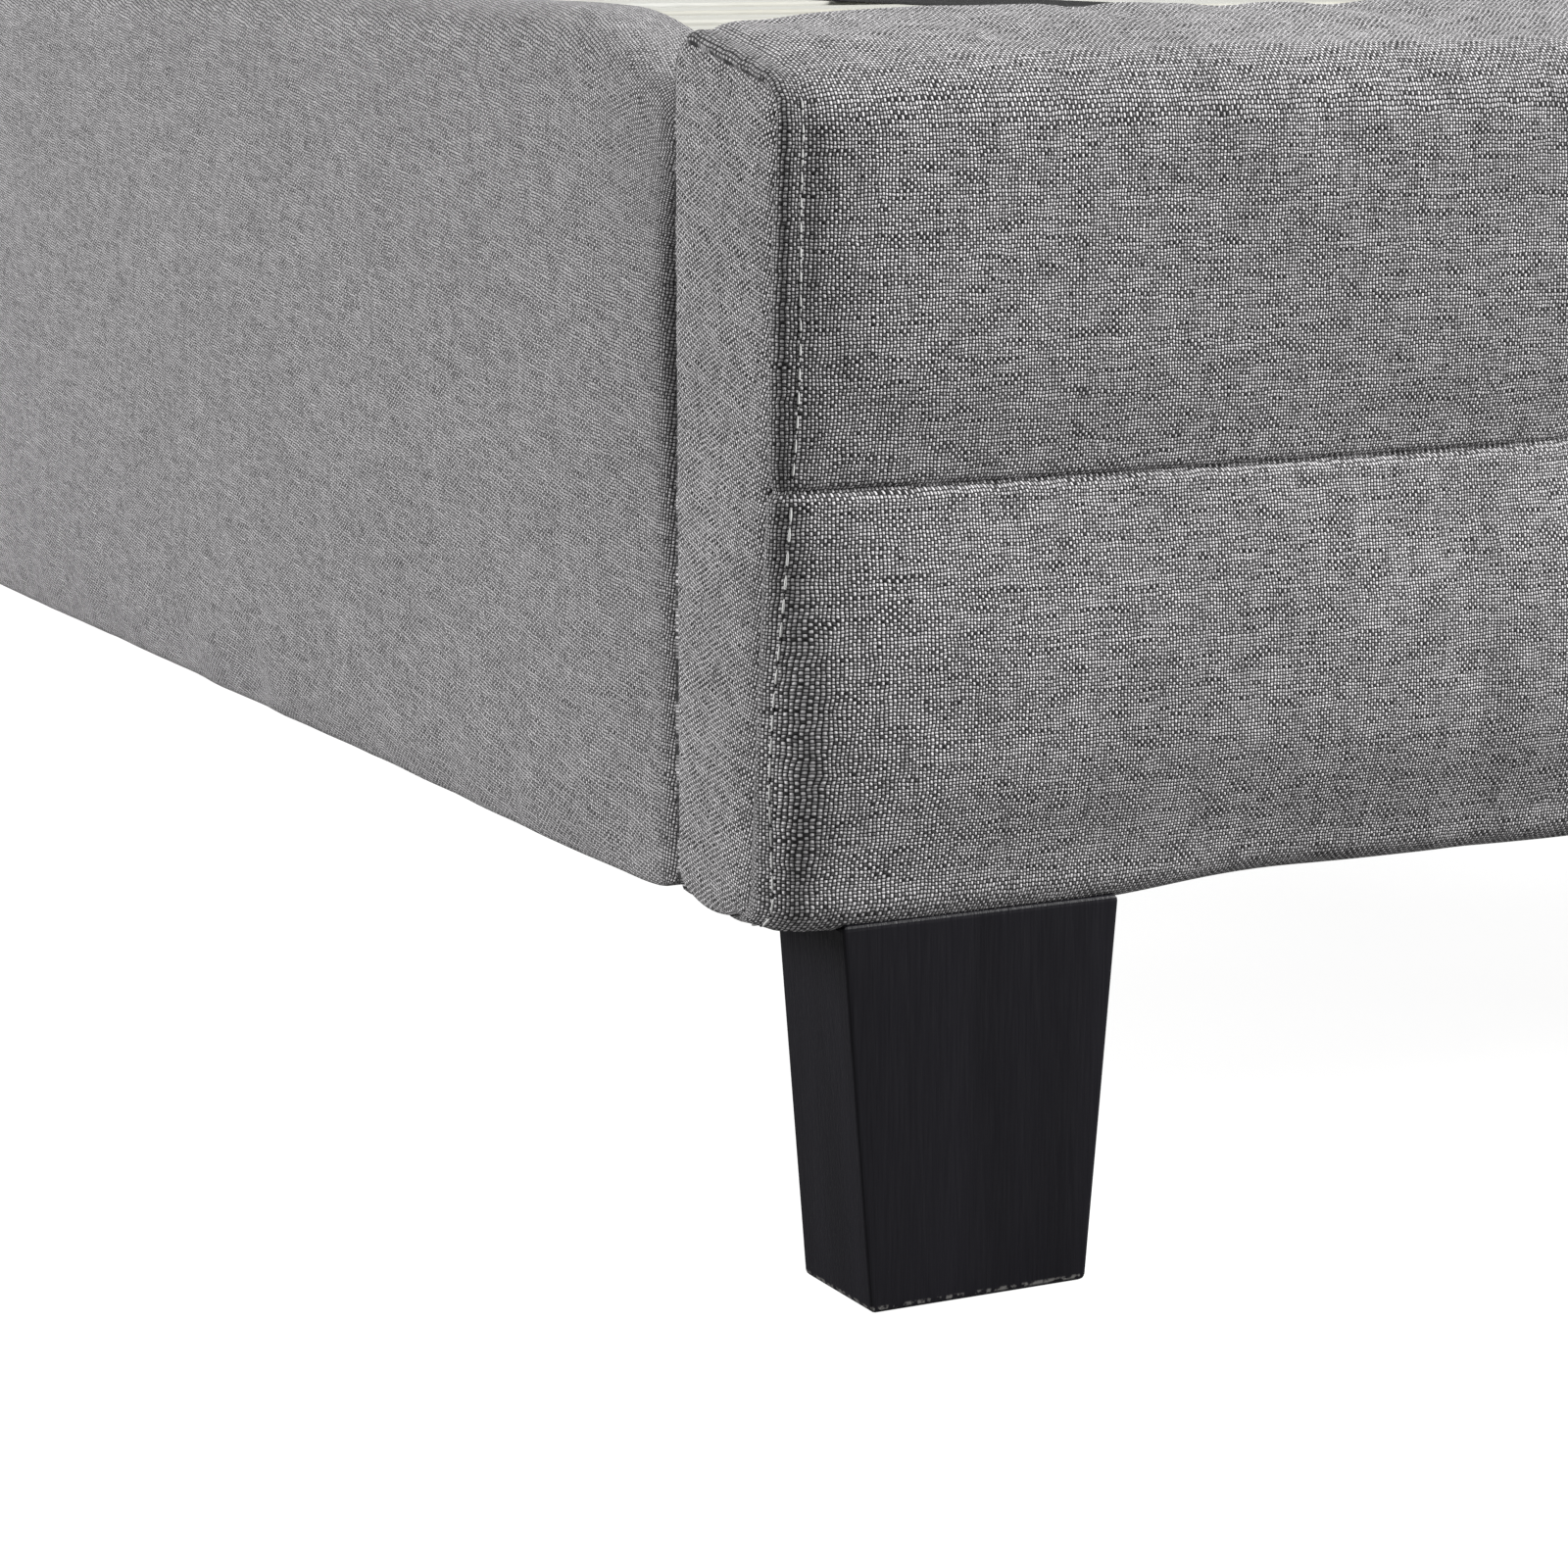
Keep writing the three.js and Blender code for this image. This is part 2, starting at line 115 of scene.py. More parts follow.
class BedSewing(bpy.types.PropertyGroup):
    """How the covers are sewn and padded."""

    grid: bpy.props.FloatProperty(
        name="Mesh pitch", description="Largest step of a cover's mesh", default=6 * MM, unit="LENGTH"
    )
    seam_dip: bpy.props.FloatProperty(
        name="Seam dip", description="How far foam is drawn in along a seam", default=3.0 * MM, unit="LENGTH"
    )
    edge_fall: bpy.props.FloatProperty(
        name="Edge fall", description="How far a panel rises from its end seam", default=6 * MM, unit="LENGTH"
    )
    seam_groove: bpy.props.FloatProperty(
        name="Seam groove", description="Depth of the sewn line itself", default=1.8 * MM, unit="LENGTH"
    )
    tuft_depth: bpy.props.FloatProperty(
        name="Tuft depth", description="How far a button draws the foam in", default=8 * MM, unit="LENGTH"
    )
    swell: bpy.props.FloatProperty(
        name="Largest swell", description="How far the cloth may move as it fills", default=5 * MM, unit="LENGTH"
    )
    stitch_inset: bpy.props.FloatProperty(
        name="Topstitch inset", description="From the end seam to the topstitch", default=8 * MM, unit="LENGTH"
    )
    stitch_pitch: bpy.props.FloatProperty(
        name="Stitch pitch", description="From one stitch to the next", default=6.8 * MM, unit="LENGTH"
    )
    thread_width: bpy.props.FloatProperty(
        name="Thread width", description="Width of the sewing thread", default=0.85 * MM, unit="LENGTH"
    )


class BedTimber(bpy.types.PropertyGroup):
    """Timber and painted finishes."""

    ease: bpy.props.FloatProperty(
        name="Eased edge", description="Rounding of sawn edges", default=1.6 * MM, unit="LENGTH"
    )
    paint: bpy.props.FloatVectorProperty(
        name="Leg paint", description="Colour of the painted legs", default=(0.0072, 0.0068, 0.0090), subtype="COLOR"
    )
    pale: bpy.props.FloatVectorProperty(
        name="Pale timber", description="Colour of the slats", default=(0.63, 0.635, 0.6), subtype="COLOR"
    )


class BedStage(bpy.types.PropertyGroup):
    """Camera and lights."""

    lens: bpy.props.FloatProperty(name="Lens", description="Focal length in millimetres", default=101.4)
    turn: bpy.props.FloatProperty(
        name="Turn", description="Round the bed from straight on", default=math.radians(-27), subtype="ANGLE"
    )
    tilt: bpy.props.FloatProperty(
        name="Tilt", description="Down from level", default=math.radians(11.5), subtype="ANGLE"
    )
    distance: bpy.props.FloatProperty(
        name="Distance", description="From the aim point", default=1.269, unit="LENGTH"
    )
    aim_height: bpy.props.FloatProperty(
        name="Aim height", description="Aim point over the floor", default=0.1644, unit="LENGTH"
    )
    aim_inset: bpy.props.FloatProperty(
        name="Aim inset", description="Aim point in from the bed's corner", default=0.002, unit="LENGTH"
    )
    sky: bpy.props.FloatProperty(name="Fill", description="Strength of the even fill light", default=0.09)
    key: bpy.props.FloatProperty(name="Key", description="Power of the brightest lamp in watts", default=670.0)


SETTINGS = {"bed_linen": BedLinen, "bed_sewing": BedSewing, "bed_timber": BedTimber, "bed_stage": BedStage}


# Mesh helpers


def volume_of_grid(points, faces):
    """The volume inside a closed mesh, below 0 where its faces point inwards."""
    triangles = [(f[0], f[i], f[i + 1]) for f in faces for i in range(1, len(f) - 1)]
    t = np.array(triangles)
    a, b, c = points[t[:, 0]], points[t[:, 1]], points[t[:, 2]]
    return float(np.einsum("ij,ij->i", a, np.cross(b, c)).sum() / 6)


def make_piece(name, points, faces, material, uv):
    """A smooth mesh object at the origin with outward faces and its weave coordinates."""
    points = np.asarray(points, float)
    if volume_of_grid(points, faces) < 0:
        faces = [tuple(reversed(f)) for f in faces]
    mesh = bpy.data.meshes.new(name)
    mesh.from_pydata(points.tolist(), [], faces)
    layer = mesh.uv_layers.new(name="weave")
    corners = np.empty(len(mesh.loops), np.int32)
    mesh.loops.foreach_get("vertex_index", corners)
    layer.data.foreach_set("uv", np.asarray(uv, np.float32)[corners].ravel())
    mesh.polygons.foreach_set("use_smooth", np.full(len(mesh.polygons), True))
    mesh.materials.append(material)
    mesh.update()
    piece = bpy.data.objects.new(name, mesh)
    bpy.context.scene.collection.objects.link(piece)
    return piece


def fit(piece, slot, *nodes, fill=None):
    """Hangs a finished piece on the bed, in place of the nodes that it stands for."""
    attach(piece, ROOT)
    if nodes:
        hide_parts(*nodes)
    return piece


def stations(start, end, coarse, spots):
    """Steps from start to end that shorten to fine near each (place, fine) spot."""
    places = [start]
    while places[-1] < end:
        here = places[-1]
        step = min([coarse] + [fine + 0.22 * abs(here - place) for place, fine in spots])
        places.append(here + step)
    places = np.array(places)
    return start + (places - start) * (end - start) / (places[-1] - start)


def shell(outer, inner):
    """Points and faces of a closed shell between two grids of the same shape."""
    n, m = outer.shape[:2]
    points = np.concatenate([outer.reshape(-1, 3), inner.reshape(-1, 3)])
    index = np.arange(n * m).reshape(n, m)
    quads = np.stack([index[:-1, :-1], index[1:, :-1], index[1:, 1:], index[:-1, 1:]], -1).reshape(-1, 4)
    rim = np.concatenate([index[:, 0], index[-1, 1:], index[-2::-1, -1], index[0, -2:0:-1]])
    after = np.roll(rim, -1)
    sides = np.stack([after, rim, rim + n * m, after + n * m], -1)
    faces = np.concatenate([quads, quads[:, ::-1] + n * m, sides])
    return points, [tuple(int(i) for i in f) for f in faces]


def cover_piece(name, outer, inner, uv, material):
    """A closed cover between an outer and an inner grid, both with the outer one's weave coordinates."""
    points, faces = shell(outer, inner)
    return make_piece(name, points, faces, material, np.concatenate([uv.reshape(-1, 2)] * 2))


def smoothstep(x, low, high):
    t = np.clip((x - low) / (high - low), 0, 1)
    return t * t * (3 - 2 * t)


def bump(x, width):
    return np.exp(-((x / width) ** 2))


def ripples(u, v, wavelength, seed, count=7):
    """A gentle unevenness from -1 to 1 that is the same on every run."""
    rng = np.random.default_rng(seed)
    total = np.zeros(np.broadcast(u, v).shape)
    for _ in range(count):
        angle, phase = rng.uniform(0, math.tau, 2)
        k = math.tau / (wavelength * rng.uniform(0.7, 1.6))
        total = total + np.sin(k * (u * math.cos(angle) + v * math.sin(angle)) + phase)
    return total / count


def button_centres(end, row):
    """Where an end's four buttons lie, as (x, distance along the outline)."""
    return [(middle(f"{end}_button_{i}")[0], row) for i in range(1, 5)]


class Outline:
    """A smooth line in a section plane, read by distance along it, with its outward normal."""

    def __init__(self, points):
        points = np.asarray(points, float)
        keep = np.r_[True, np.hypot(*np.diff(points, axis=0).T) > 1e-7]
        self.points = points[keep]
        self.along = np.r_[0, np.cumsum(np.hypot(*np.diff(self.points, axis=0).T))]
        self.length = self.along[-1]

    def at(self, s):
        return np.stack([np.interp(s, self.along, self.points[:, k]) for k in (0, 1)], -1)

    def normal(self, s, reach=1.2 * MM):
        ahead = self.at(np.minimum(s + reach, self.length)) - self.at(np.maximum(s - reach, 0))
        ahead /= np.linalg.norm(ahead, axis=-1, keepdims=True)
        return np.stack([-ahead[..., 1], ahead[..., 0]], -1)

    def where(self, value, axis=1):
        """The first distance at which the line's coordinate reaches value."""
        c = self.points[:, axis]
        i = int(np.argmax((c[:-1] - value) * (c[1:] - value) <= 0))
        t = (value - c[i]) / (c[i + 1] - c[i] or 1)
        return self.along[i] + t * (self.along[i + 1] - self.along[i])


def arc(centre, radius, start, end, step=3.0):
    """Points on a circle from start to end, in degrees."""
    count = max(2, int(abs(end - start) / step) + 1)
    angles = np.radians(np.linspace(start, end, count))
    return [(centre[0] + radius * math.cos(a), centre[1] + radius * math.sin(a)) for a in angles]


# Sections, as (y, z) lines that start under the front edge and keep the outside on their left


def foot_section():
    """Front, top and back of the footboard's cover, lip to lip."""
    top, front_top = FOOT_TOP, FOOT_TOP - 9 * MM
    skirt = SKIRT
    edge, front, back, under = 9 * MM, 15 * MM, 12 * MM, 4 * MM
    y0, y1 = FRONT + 1.5 * MM, FOOT_BACK
    return [
        (FRONT + 15.5 * MM, skirt),
        *arc((y0 + edge, skirt + edge), edge, 270, 180, 10),
        (y0, skirt + 60 * MM),
        (y0, skirt + 128 * MM),
        *arc((FRONT + front, front_top - front), front, 180, 102, 5),
        *arc((y1 - back, top - back), back, 100, 0, 6),
        *arc((y1 - under, skirt + under), under, 0, -90, 15),
        (y1 - 9.5 * MM, skirt),
    ]


def rail_section():
    """(inset from the outer face, height), from under the outer face up and over to the inner lip."""
    depth, top = RAIL_HIGH[0] - RAIL_LOW[0], RAIL_HIGH[2]
    edge, outer, inner = 3 * MM, 12 * MM, 6 * MM
    return [
        (23 * MM, SKIRT),
        *arc((edge, SKIRT + edge), edge, 270, 180, 10),
        *arc((outer, top - outer), outer, 180, 90, 6),
        *arc((depth - inner, top - inner), inner, 90, 0, 10),
        (depth, top - 27.5 * MM),
    ]


class HeadShape:
    """The headboard's side line: upright, bent back, then curled over."""

    depth = 70 * MM
    straight = 640 * MM
    radius = 1000 * MM
    roll = 70 * MM
    bend = math.radians(26)

    @classmethod
    def centre(cls):
        reach = cls.radius - cls.roll
        y = HEAD_FRONT + cls.radius - reach * math.cos(cls.bend)
        return np.array([y, cls.straight + reach * math.sin(cls.bend)])

    @classmethod
    def bent(cls, offset, start, end):
        """The bent surface, offset behind the front, between two angles of bend in degrees."""
        return arc((HEAD_FRONT + cls.radius, cls.straight), cls.radius - offset, 180 - start, 180 - end, 0.5)

    @classmethod
    def meet(cls):
        """The angle of bend, in degrees, where the back surface runs into the roll."""
        a = b = cls.radius - cls.roll
        return math.degrees(cls.bend - math.acos((a * a + b * b - cls.roll**2) / (2 * a * b)))


def head_section(roll_end=286):
    """Front of the headboard's cover, from its lower lip up, over the roll and under it."""
    edge = 6 * MM
    degrees = math.degrees(HeadShape.bend)
    return [
        (HEAD_FRONT + 13 * MM, SKIRT),
        *arc((HEAD_FRONT + edge, SKIRT + edge), edge, 270, 180, 10),
        *HeadShape.bent(0, 0, degrees),
        *arc(HeadShape.centre(), HeadShape.roll, 180 - degrees, 180 - roll_end, 4)[1:],
    ]


def back_section():
    """The headboard's back, from the roll's underside down to the skirt."""
    return [*HeadShape.bent(HeadShape.depth, HeadShape.meet() - 0.1, 0), (HEAD_FRONT + HeadShape.depth, SKIRT)]


# Covers that run across the bed


def corner_path(a, drift, radius):
    """Inset and depth of a point that lies a along the cloth from an end seam that sits drift behind the face."""
    flat = np.maximum(drift - radius, 0)
    first = np.arcsin(np.clip(1 - drift / radius, 0, 1))
    turn = np.clip(first + (a - flat) / radius, first, math.pi / 2)
    on_side = a < flat
    past = np.maximum(a - flat - (math.pi / 2 - first) * radius, 0)
    inset = np.where(on_side, 0, radius * (1 - np.cos(turn)) + past)
    depth = np.where(on_side, drift - a, radius * (1 - np.sin(turn)))
    turn = np.where(on_side, 0, turn)
    return inset, depth, turn


def extra_cloth(drift, radius):
    first = np.arcsin(np.clip(1 - drift / radius, 0, 1))
    return np.maximum(drift - radius, 0) + (math.pi / 2 - first) * radius - radius


class AcrossCover:
    """A cover that follows an outline in (y, z) from one end seam to the other."""

    blend = 60 * MM  # the stretch over which cloth that turned a corner evens out

    def __init__(self, outline, half, drift, radius, relief, inset_at):
        self.outline, self.half, self.inset_at = outline, half, inset_at
        self.drift, self.radius, self.relief = drift, radius, relief

    def place(self, e, s, side):
        """Points e in from the end seam on that side and s along the outline, with their cloth coordinates."""
        e, s = np.broadcast_arrays(e, s)
        base, normal = self.outline.at(s), self.outline.normal(s)
        drift, radius = self.drift(base), self.radius(base)
        a = e + extra_cloth(drift, radius) * smoothstep(e, 0, self.blend)
        inset, depth, turn = corner_path(a, drift, radius)
        x = side * (self.half - inset)
        lift = self.relief(x, s, a)
        flat = base + normal * (lift * np.sin(turn))[..., None] + self.inward(base, normal) * depth[..., None]
        return np.stack([x + side * lift * np.cos(turn), flat[..., 0], flat[..., 1]], -1)

    def inward(self, base, normal):
        """The way into the padding, level along the lower hem."""
        y = self.outline.points[:, 0]
        level = np.where(base[..., :1] < (y.min() + y.max()) / 2, 1.0, -1.0) * np.array([1.0, 0.0])
        return np.where(base[..., 1:] < SKIRT + 8 * MM, level, -normal)

    def end_seam(self, s):
        """The end seam in (y, z)."""
        base, normal = self.outline.at(s), self.outline.normal(s)
        return base + self.inward(base, normal) * self.drift(base)[..., None]

    def grid(self, across, s):
        """The whole cover at nominal places across the bed and distances along the outline."""
        x, s = np.meshgrid(across, s, indexing="ij")
        left = self.place(self.half + x, s, -1)
        right = self.place(self.half - x, s, 1)
        return np.where((x < 0)[..., None], left, right), np.stack([x, s], -1)


def sewn_line(distance, sewing):
    """Depth of a seam: a wide draw of the foam and the narrow sewn line."""
    wide = sewing.seam_dip * np.exp(-np.abs(distance) / (13 * MM))
    return -(wide + sewing.seam_groove * bump(distance, 1.7 * MM))


def tufts(x, s, centres, sewing, seed):
    """Depth drawn in by buttons, with creases that run out from each."""
    rng = np.random.default_rng(seed)
    total = np.zeros(x.shape)
    for cx, cs in centres:
        dx, ds = x - cx, s - cs
        r = np.hypot(dx * 0.8, ds)
        total -= sewing.tuft_depth * np.exp(-((r / (20 * MM)) ** 1.35))
        for base in (20, 62, 118, 160, 200, 244, 292, 338):
            angle = math.radians(base + rng.uniform(-12, 12))
            ahead = dx * math.cos(angle) + ds * math.sin(angle)
            aside = -dx * math.sin(angle) + ds * math.cos(angle)
            reach = rng.uniform(30, 65) * MM
            width = 2.5 * MM + 0.07 * np.maximum(ahead, 0)
            fade = smoothstep(ahead, 4 * MM, 14 * MM) * np.exp(-np.maximum(ahead, 0) / reach)
            total -= rng.uniform(0.7, 1.5) * MM * fade * bump(aside, width)
    return total


# Materials

WEAVE_CONTRAST = 1.35
SEAM_PAINTED_SHADE = 0.66  # painted shade: how much darker the cloth is coloured near an end seam, where it turns the corner away from the light


def feed(tree, sockets, items):
    """Gives each socket its number, its colour or a link from another socket."""
    for socket, item in zip(sockets, items):
        if isinstance(item, bpy.types.NodeSocket):
            tree.links.new(item, socket)
        elif isinstance(item, (int, float)):
            socket.default_value = item
        else:
            socket.default_value = (*item[:3], 1)


def value_node(tree, operation, *inputs, clamp=False):
    """A Math node with numbers or sockets as its inputs."""
    node = tree.nodes.new("ShaderNodeMath")
    node.operation, node.use_clamp = operation, clamp
    feed(tree, node.inputs, inputs)
    return node.outputs[0]


def combined(tree, *inputs):
    node = tree.nodes.new("ShaderNodeCombineXYZ")
    feed(tree, node.inputs, inputs)
    return node.outputs[0]


def separated(tree, vector):
    """The X, Y and Z of a vector socket."""
    node = tree.nodes.new("ShaderNodeSeparateXYZ")
    tree.links.new(vector, node.inputs[0])
    return node.outputs


def object_place(tree):
    """The place on the piece, in metres."""
    return tree.nodes.new("ShaderNodeTexCoord").outputs["Object"]


def noise_node(tree, vector, scale, detail=2.0, roughness=0.5):
    node = tree.nodes.new("ShaderNodeTexNoise")
    node.inputs["Scale"].default_value = scale
    node.inputs["Detail"].default_value = detail
    node.inputs["Roughness"].default_value = roughness
    tree.links.new(vector, node.inputs["Vector"])
    return node.outputs["Fac"]


def remap(tree, value, low, high, to_low=0.0, to_high=1.0):
    node = tree.nodes.new("ShaderNodeMapRange")
    for socket, item in zip(list(node.inputs)[1:5], (low, high, to_low, to_high)):
        socket.default_value = item
    tree.links.new(value, node.inputs[0])
    return node.outputs[0]


def mixed(tree, factor, a, b, blend="MIX"):
    """A colour mix. a and b are colours or sockets."""
    node = tree.nodes.new("ShaderNodeMix")
    node.data_type, node.blend_type = "RGBA", blend
    feed(tree, (node.inputs[0], node.inputs[6], node.inputs[7]), (factor, a, b))
    return node.outputs[2]


def new_group(name, inputs, outputs):
    """A shader node group with its sockets and its two end nodes."""
    tree = bpy.data.node_groups.new(name, "ShaderNodeTree")
    for socket, kind, default in inputs:
        made = tree.interface.new_socket(socket, in_out="INPUT", socket_type=kind)
        if default is not None:
            made.default_value = default
    for socket, kind in outputs:
        tree.interface.new_socket(socket, in_out="OUTPUT", socket_type=kind)
    return tree, tree.nodes.new("NodeGroupInput"), tree.nodes.new("NodeGroupOutput")


def weave_group():
    """Plain weave of light warp over darker weft. Vector is in yarn widths; Shade and Height run from 0 to 1."""
    tree, given, result = new_group(
        "plain_weave",
        [
            ("Vector", "NodeSocketVector", None),
            ("Weft", "NodeSocketFloat", 0.42),
            ("Heather", "NodeSocketFloat", 0.5),
        ],
        [("Shade", "NodeSocketFloat"), ("Height", "NodeSocketFloat")],
    )
    math_node = functools.partial(value_node, tree)
    wander = tree.nodes.new("ShaderNodeTexNoise")
    wander.inputs["Scale"].default_value = 0.16
    wander.inputs["Detail"].default_value = 1.5
    tree.links.new(given.outputs["Vector"], wander.inputs["Vector"])
    shift = tree.nodes.new("ShaderNodeVectorMath")
    shift.operation = "MULTIPLY_ADD"
    shift.inputs[1].default_value = (1.5, 1.5, 0)
    tree.links.new(wander.outputs["Color"], shift.inputs[0])
    tree.links.new(given.outputs["Vector"], shift.inputs[2])
    x, y, _ = separated(tree, shift.outputs[0])
    cx, cy = math_node("FLOOR", x), math_node("FLOOR", y)
    fx, fy = math_node("SUBTRACT", x, cx), math_node("SUBTRACT", y, cy)
    over = math_node("FLOORED_MODULO", math_node("ADD", cx, cy), 2.0)
    under = math_node("SUBTRACT", 1.0, over)
    dome_x = math_node("SINE", math_node("MULTIPLY", fx, math.pi))
    dome_y = math_node("SINE", math_node("MULTIPLY", fy, math.pi))
    upright = math_node("MULTIPLY", dome_x, math_node("POWER", dome_y, 0.45))
    level = math_node("MULTIPLY", dome_y, math_node("POWER", dome_x, 0.45))
    height = math_node("ADD", math_node("MULTIPLY", upright, over), math_node("MULTIPLY", level, under))
    warp_at = combined(tree, math_node("MULTIPLY", cx, 7.31), math_node("MULTIPLY", y, 0.09), 0.0)
    weft_at = combined(tree, math_node("MULTIPLY", x, 0.09), math_node("MULTIPLY", cy, 5.17), 9.0)
    warp = remap(tree, noise_node(tree, warp_at, 1.0, 1.0), 0.3, 0.7, -0.5, 0.5)
    weft = remap(tree, noise_node(tree, weft_at, 1.0, 1.0), 0.3, 0.7, -0.5, 0.5)
    cell = tree.nodes.new("ShaderNodeTexWhiteNoise")
    cell.noise_dimensions = "2D"
    tree.links.new(combined(tree, cx, cy, 0.0), cell.inputs["Vector"])
    speckle = remap(tree, cell.outputs["Value"], 0.0, 1.0, -0.14, 0.14)
    light = math_node("MULTIPLY_ADD", warp, given.outputs["Heather"], 0.9)
    dark = math_node("MULTIPLY_ADD", weft, given.outputs["Heather"], given.outputs["Weft"])
    tone = math_node("ADD", math_node("MULTIPLY", light, over), math_node("MULTIPLY", dark, under))
    tone = math_node("ADD", tone, speckle)
    shade = math_node("MULTIPLY", tone, remap(tree, height, 0.15, 0.85, 0.0, 1.0), clamp=True)
    tree.links.new(shade, result.inputs["Shade"])
    tree.links.new(height, result.inputs["Height"])
    return tree


def grain_group():
    """Long fibres along X with slow figure. Vector is in metres; Fibre and Figure run from 0 to 1."""
    tree, given, result = new_group(
        "long_grain",
        [("Vector", "NodeSocketVector", None), ("Stretch", "NodeSocketFloat", 14.0)],
        [("Fibre", "NodeSocketFloat"), ("Figure", "NodeSocketFloat")],
    )
    x, y, z = separated(tree, given.outputs["Vector"])
    drawn = combined(tree, value_node(tree, "DIVIDE", x, given.outputs["Stretch"]), y, z)
    tree.links.new(noise_node(tree, drawn, 900.0, 3.0, 0.6), result.inputs["Fibre"])
    tree.links.new(noise_node(tree, drawn, 55.0, 3.0, 0.55), result.inputs["Figure"])
    return tree


def start_material(name, roughness=0.8):
    """A named material with its tree and its Principled shader."""
    material = bpy.data.materials.new(name)
    material.use_nodes = True
    tree = material.node_tree
    shader = tree.nodes["Principled BSDF"]
    shader.inputs["Roughness"].default_value = roughness
    return material, tree, shader


def placed_group(tree, group, vector, **values):
    node = tree.nodes.new("ShaderNodeGroup")
    node.node_tree = group
    tree.links.new(vector, node.inputs["Vector"])
    for name, value in values.items():
        node.inputs[name].default_value = value
    return node


def mapped(tree, vector, scale=(1, 1, 1), turn=(0, 0, 0)):
    node = tree.nodes.new("ShaderNodeMapping")
    node.inputs["Scale"].default_value = scale
    node.inputs["Rotation"].default_value = turn
    tree.links.new(vector, node.inputs["Vector"])
    return node.outputs[0]


def relief_of(tree, shader, height, distance, strength=1.0):
    node = tree.nodes.new("ShaderNodeBump")
    node.inputs["Strength"].default_value = strength
    node.inputs["Distance"].default_value = distance
    tree.links.new(height, node.inputs["Height"])
    tree.links.new(node.outputs["Normal"], shader.inputs["Normal"])


def linen_material(name, linen, light, dark, turn=0.0, weft=0.42, heather=0.5, cloud_low=0.88, shaded=False):
    """Linen on the piece's own weave coordinates, with the soft mottling of uneven yarn, and, when asked, painted
    shade darkening a band just inside each end seam.
    """
    material, tree, shader = start_material(name, 0.92)
    uv = tree.nodes.new("ShaderNodeUVMap")
    uv.uv_map = "weave"
    scale = 1 / linen.pitch
    vector = mapped(tree, uv.outputs[0], (scale, scale, scale), (0, 0, turn))
    weave = placed_group(tree, group_named("plain_weave", weave_group), vector, Weft=weft, Heather=heather)
    shade = remap(tree, weave.outputs["Shade"], 0.5 - 0.5 / WEAVE_CONTRAST, 0.5 + 0.5 / WEAVE_CONTRAST)
    colour = mixed(tree, shade, dark, light)
    cloud = remap(tree, noise_node(tree, uv.outputs[0], 16.0, 4.0), 0.35, 0.65, 0.0, 1.0)
    colour = mixed(tree, 1.0, colour, mixed(tree, cloud, (cloud_low,) * 3, (1.0, 1.0, 1.0)), "MULTIPLY")
    # Painted shade: the cloth within 13 mm of either end seam is coloured darker, fully from 6 mm in, for the shade
    # where it turns the corner.
    if shaded:
        side = value_node(tree, "ABSOLUTE", separated(tree, uv.outputs[0])[0])
        seam_shade_strip = remap(tree, side, HALF - 13 * MM, HALF - 6 * MM)
        colour = mixed(tree, seam_shade_strip, colour, mixed(tree, 1.0, colour, (SEAM_PAINTED_SHADE,) * 3, "MULTIPLY"))
    tree.links.new(colour, shader.inputs["Base Color"])
    shader.inputs["Sheen Weight"].default_value = 0.08
    shader.inputs["Sheen Roughness"].default_value = 0.6
    shader.inputs["Specular IOR Level"].default_value = 0.2
    relief_of(tree, shader, weave.outputs["Height"], linen.relief)
    return material


def group_named(name, build):
    return bpy.data.node_groups.get(name) or build()


def pale_wood_material(name, timber, turn=0.0, tone=1.0):
    """Planed pale timber with its grain along X, or along Y when turned."""
    material, tree, shader = start_material(name, 0.62)
    vector = mapped(tree, object_place(tree), turn=(0, 0, turn))
    grain = placed_group(tree, group_named("long_grain", grain_group), vector, Stretch=14.0)
    base = [c * tone for c in timber.pale]
    darker = [c * 0.82 * k for c, k in zip(base, (1.0, 0.97, 0.88))]
    colour = mixed(tree, remap(tree, grain.outputs["Figure"], 0.35, 0.7), base, darker)
    fibre = mixed(tree, remap(tree, grain.outputs["Fibre"], 0.45, 0.75, 0, 0.35), colour, [c * 0.7 for c in base])
    tree.links.new(fibre, shader.inputs["Base Color"])
    rough = remap(tree, grain.outputs["Fibre"], 0.3, 0.7, 0.5, 0.72)
    tree.links.new(rough, shader.inputs["Roughness"])
    relief_of(tree, shader, grain.outputs["Fibre"], 0.12 * MM)
    return material


def black_paint_material(timber):
    """Black satin paint over upright open grain, rubbed through at the lowest edge."""
    material, tree, shader = start_material("black_painted_wood", 0.4)
    shader.inputs["Specular IOR Level"].default_value = 0.16
    place = object_place(tree)
    upright = mapped(tree, place, turn=(0, math.pi / 2, 0))
    grain = placed_group(tree, group_named("long_grain", grain_group), upright, Stretch=18.0)
    z = separated(tree, place)[2]
    band = value_node(tree, "MULTIPLY", remap(tree, z, 0.7 * MM, 1.3 * MM), remap(tree, z, 2.4 * MM, 1.7 * MM))
    broken = remap(tree, noise_node(tree, place, 420.0, 3.0), 0.5, 0.6)
    worn = value_node(tree, "MULTIPLY", band, broken, clamp=True)
    tint = [c * 1.5 for c in timber.paint]
    colour = mixed(tree, remap(tree, grain.outputs["Figure"], 0.3, 0.7), timber.paint, tint)
    colour = mixed(tree, worn, colour, (0.16, 0.155, 0.15))
    tree.links.new(colour, shader.inputs["Base Color"])
    tree.links.new(remap(tree, grain.outputs["Fibre"], 0.3, 0.7, 0.3, 0.5), shader.inputs["Roughness"])
    relief_of(tree, shader, grain.outputs["Fibre"], 0.16 * MM)
    return material


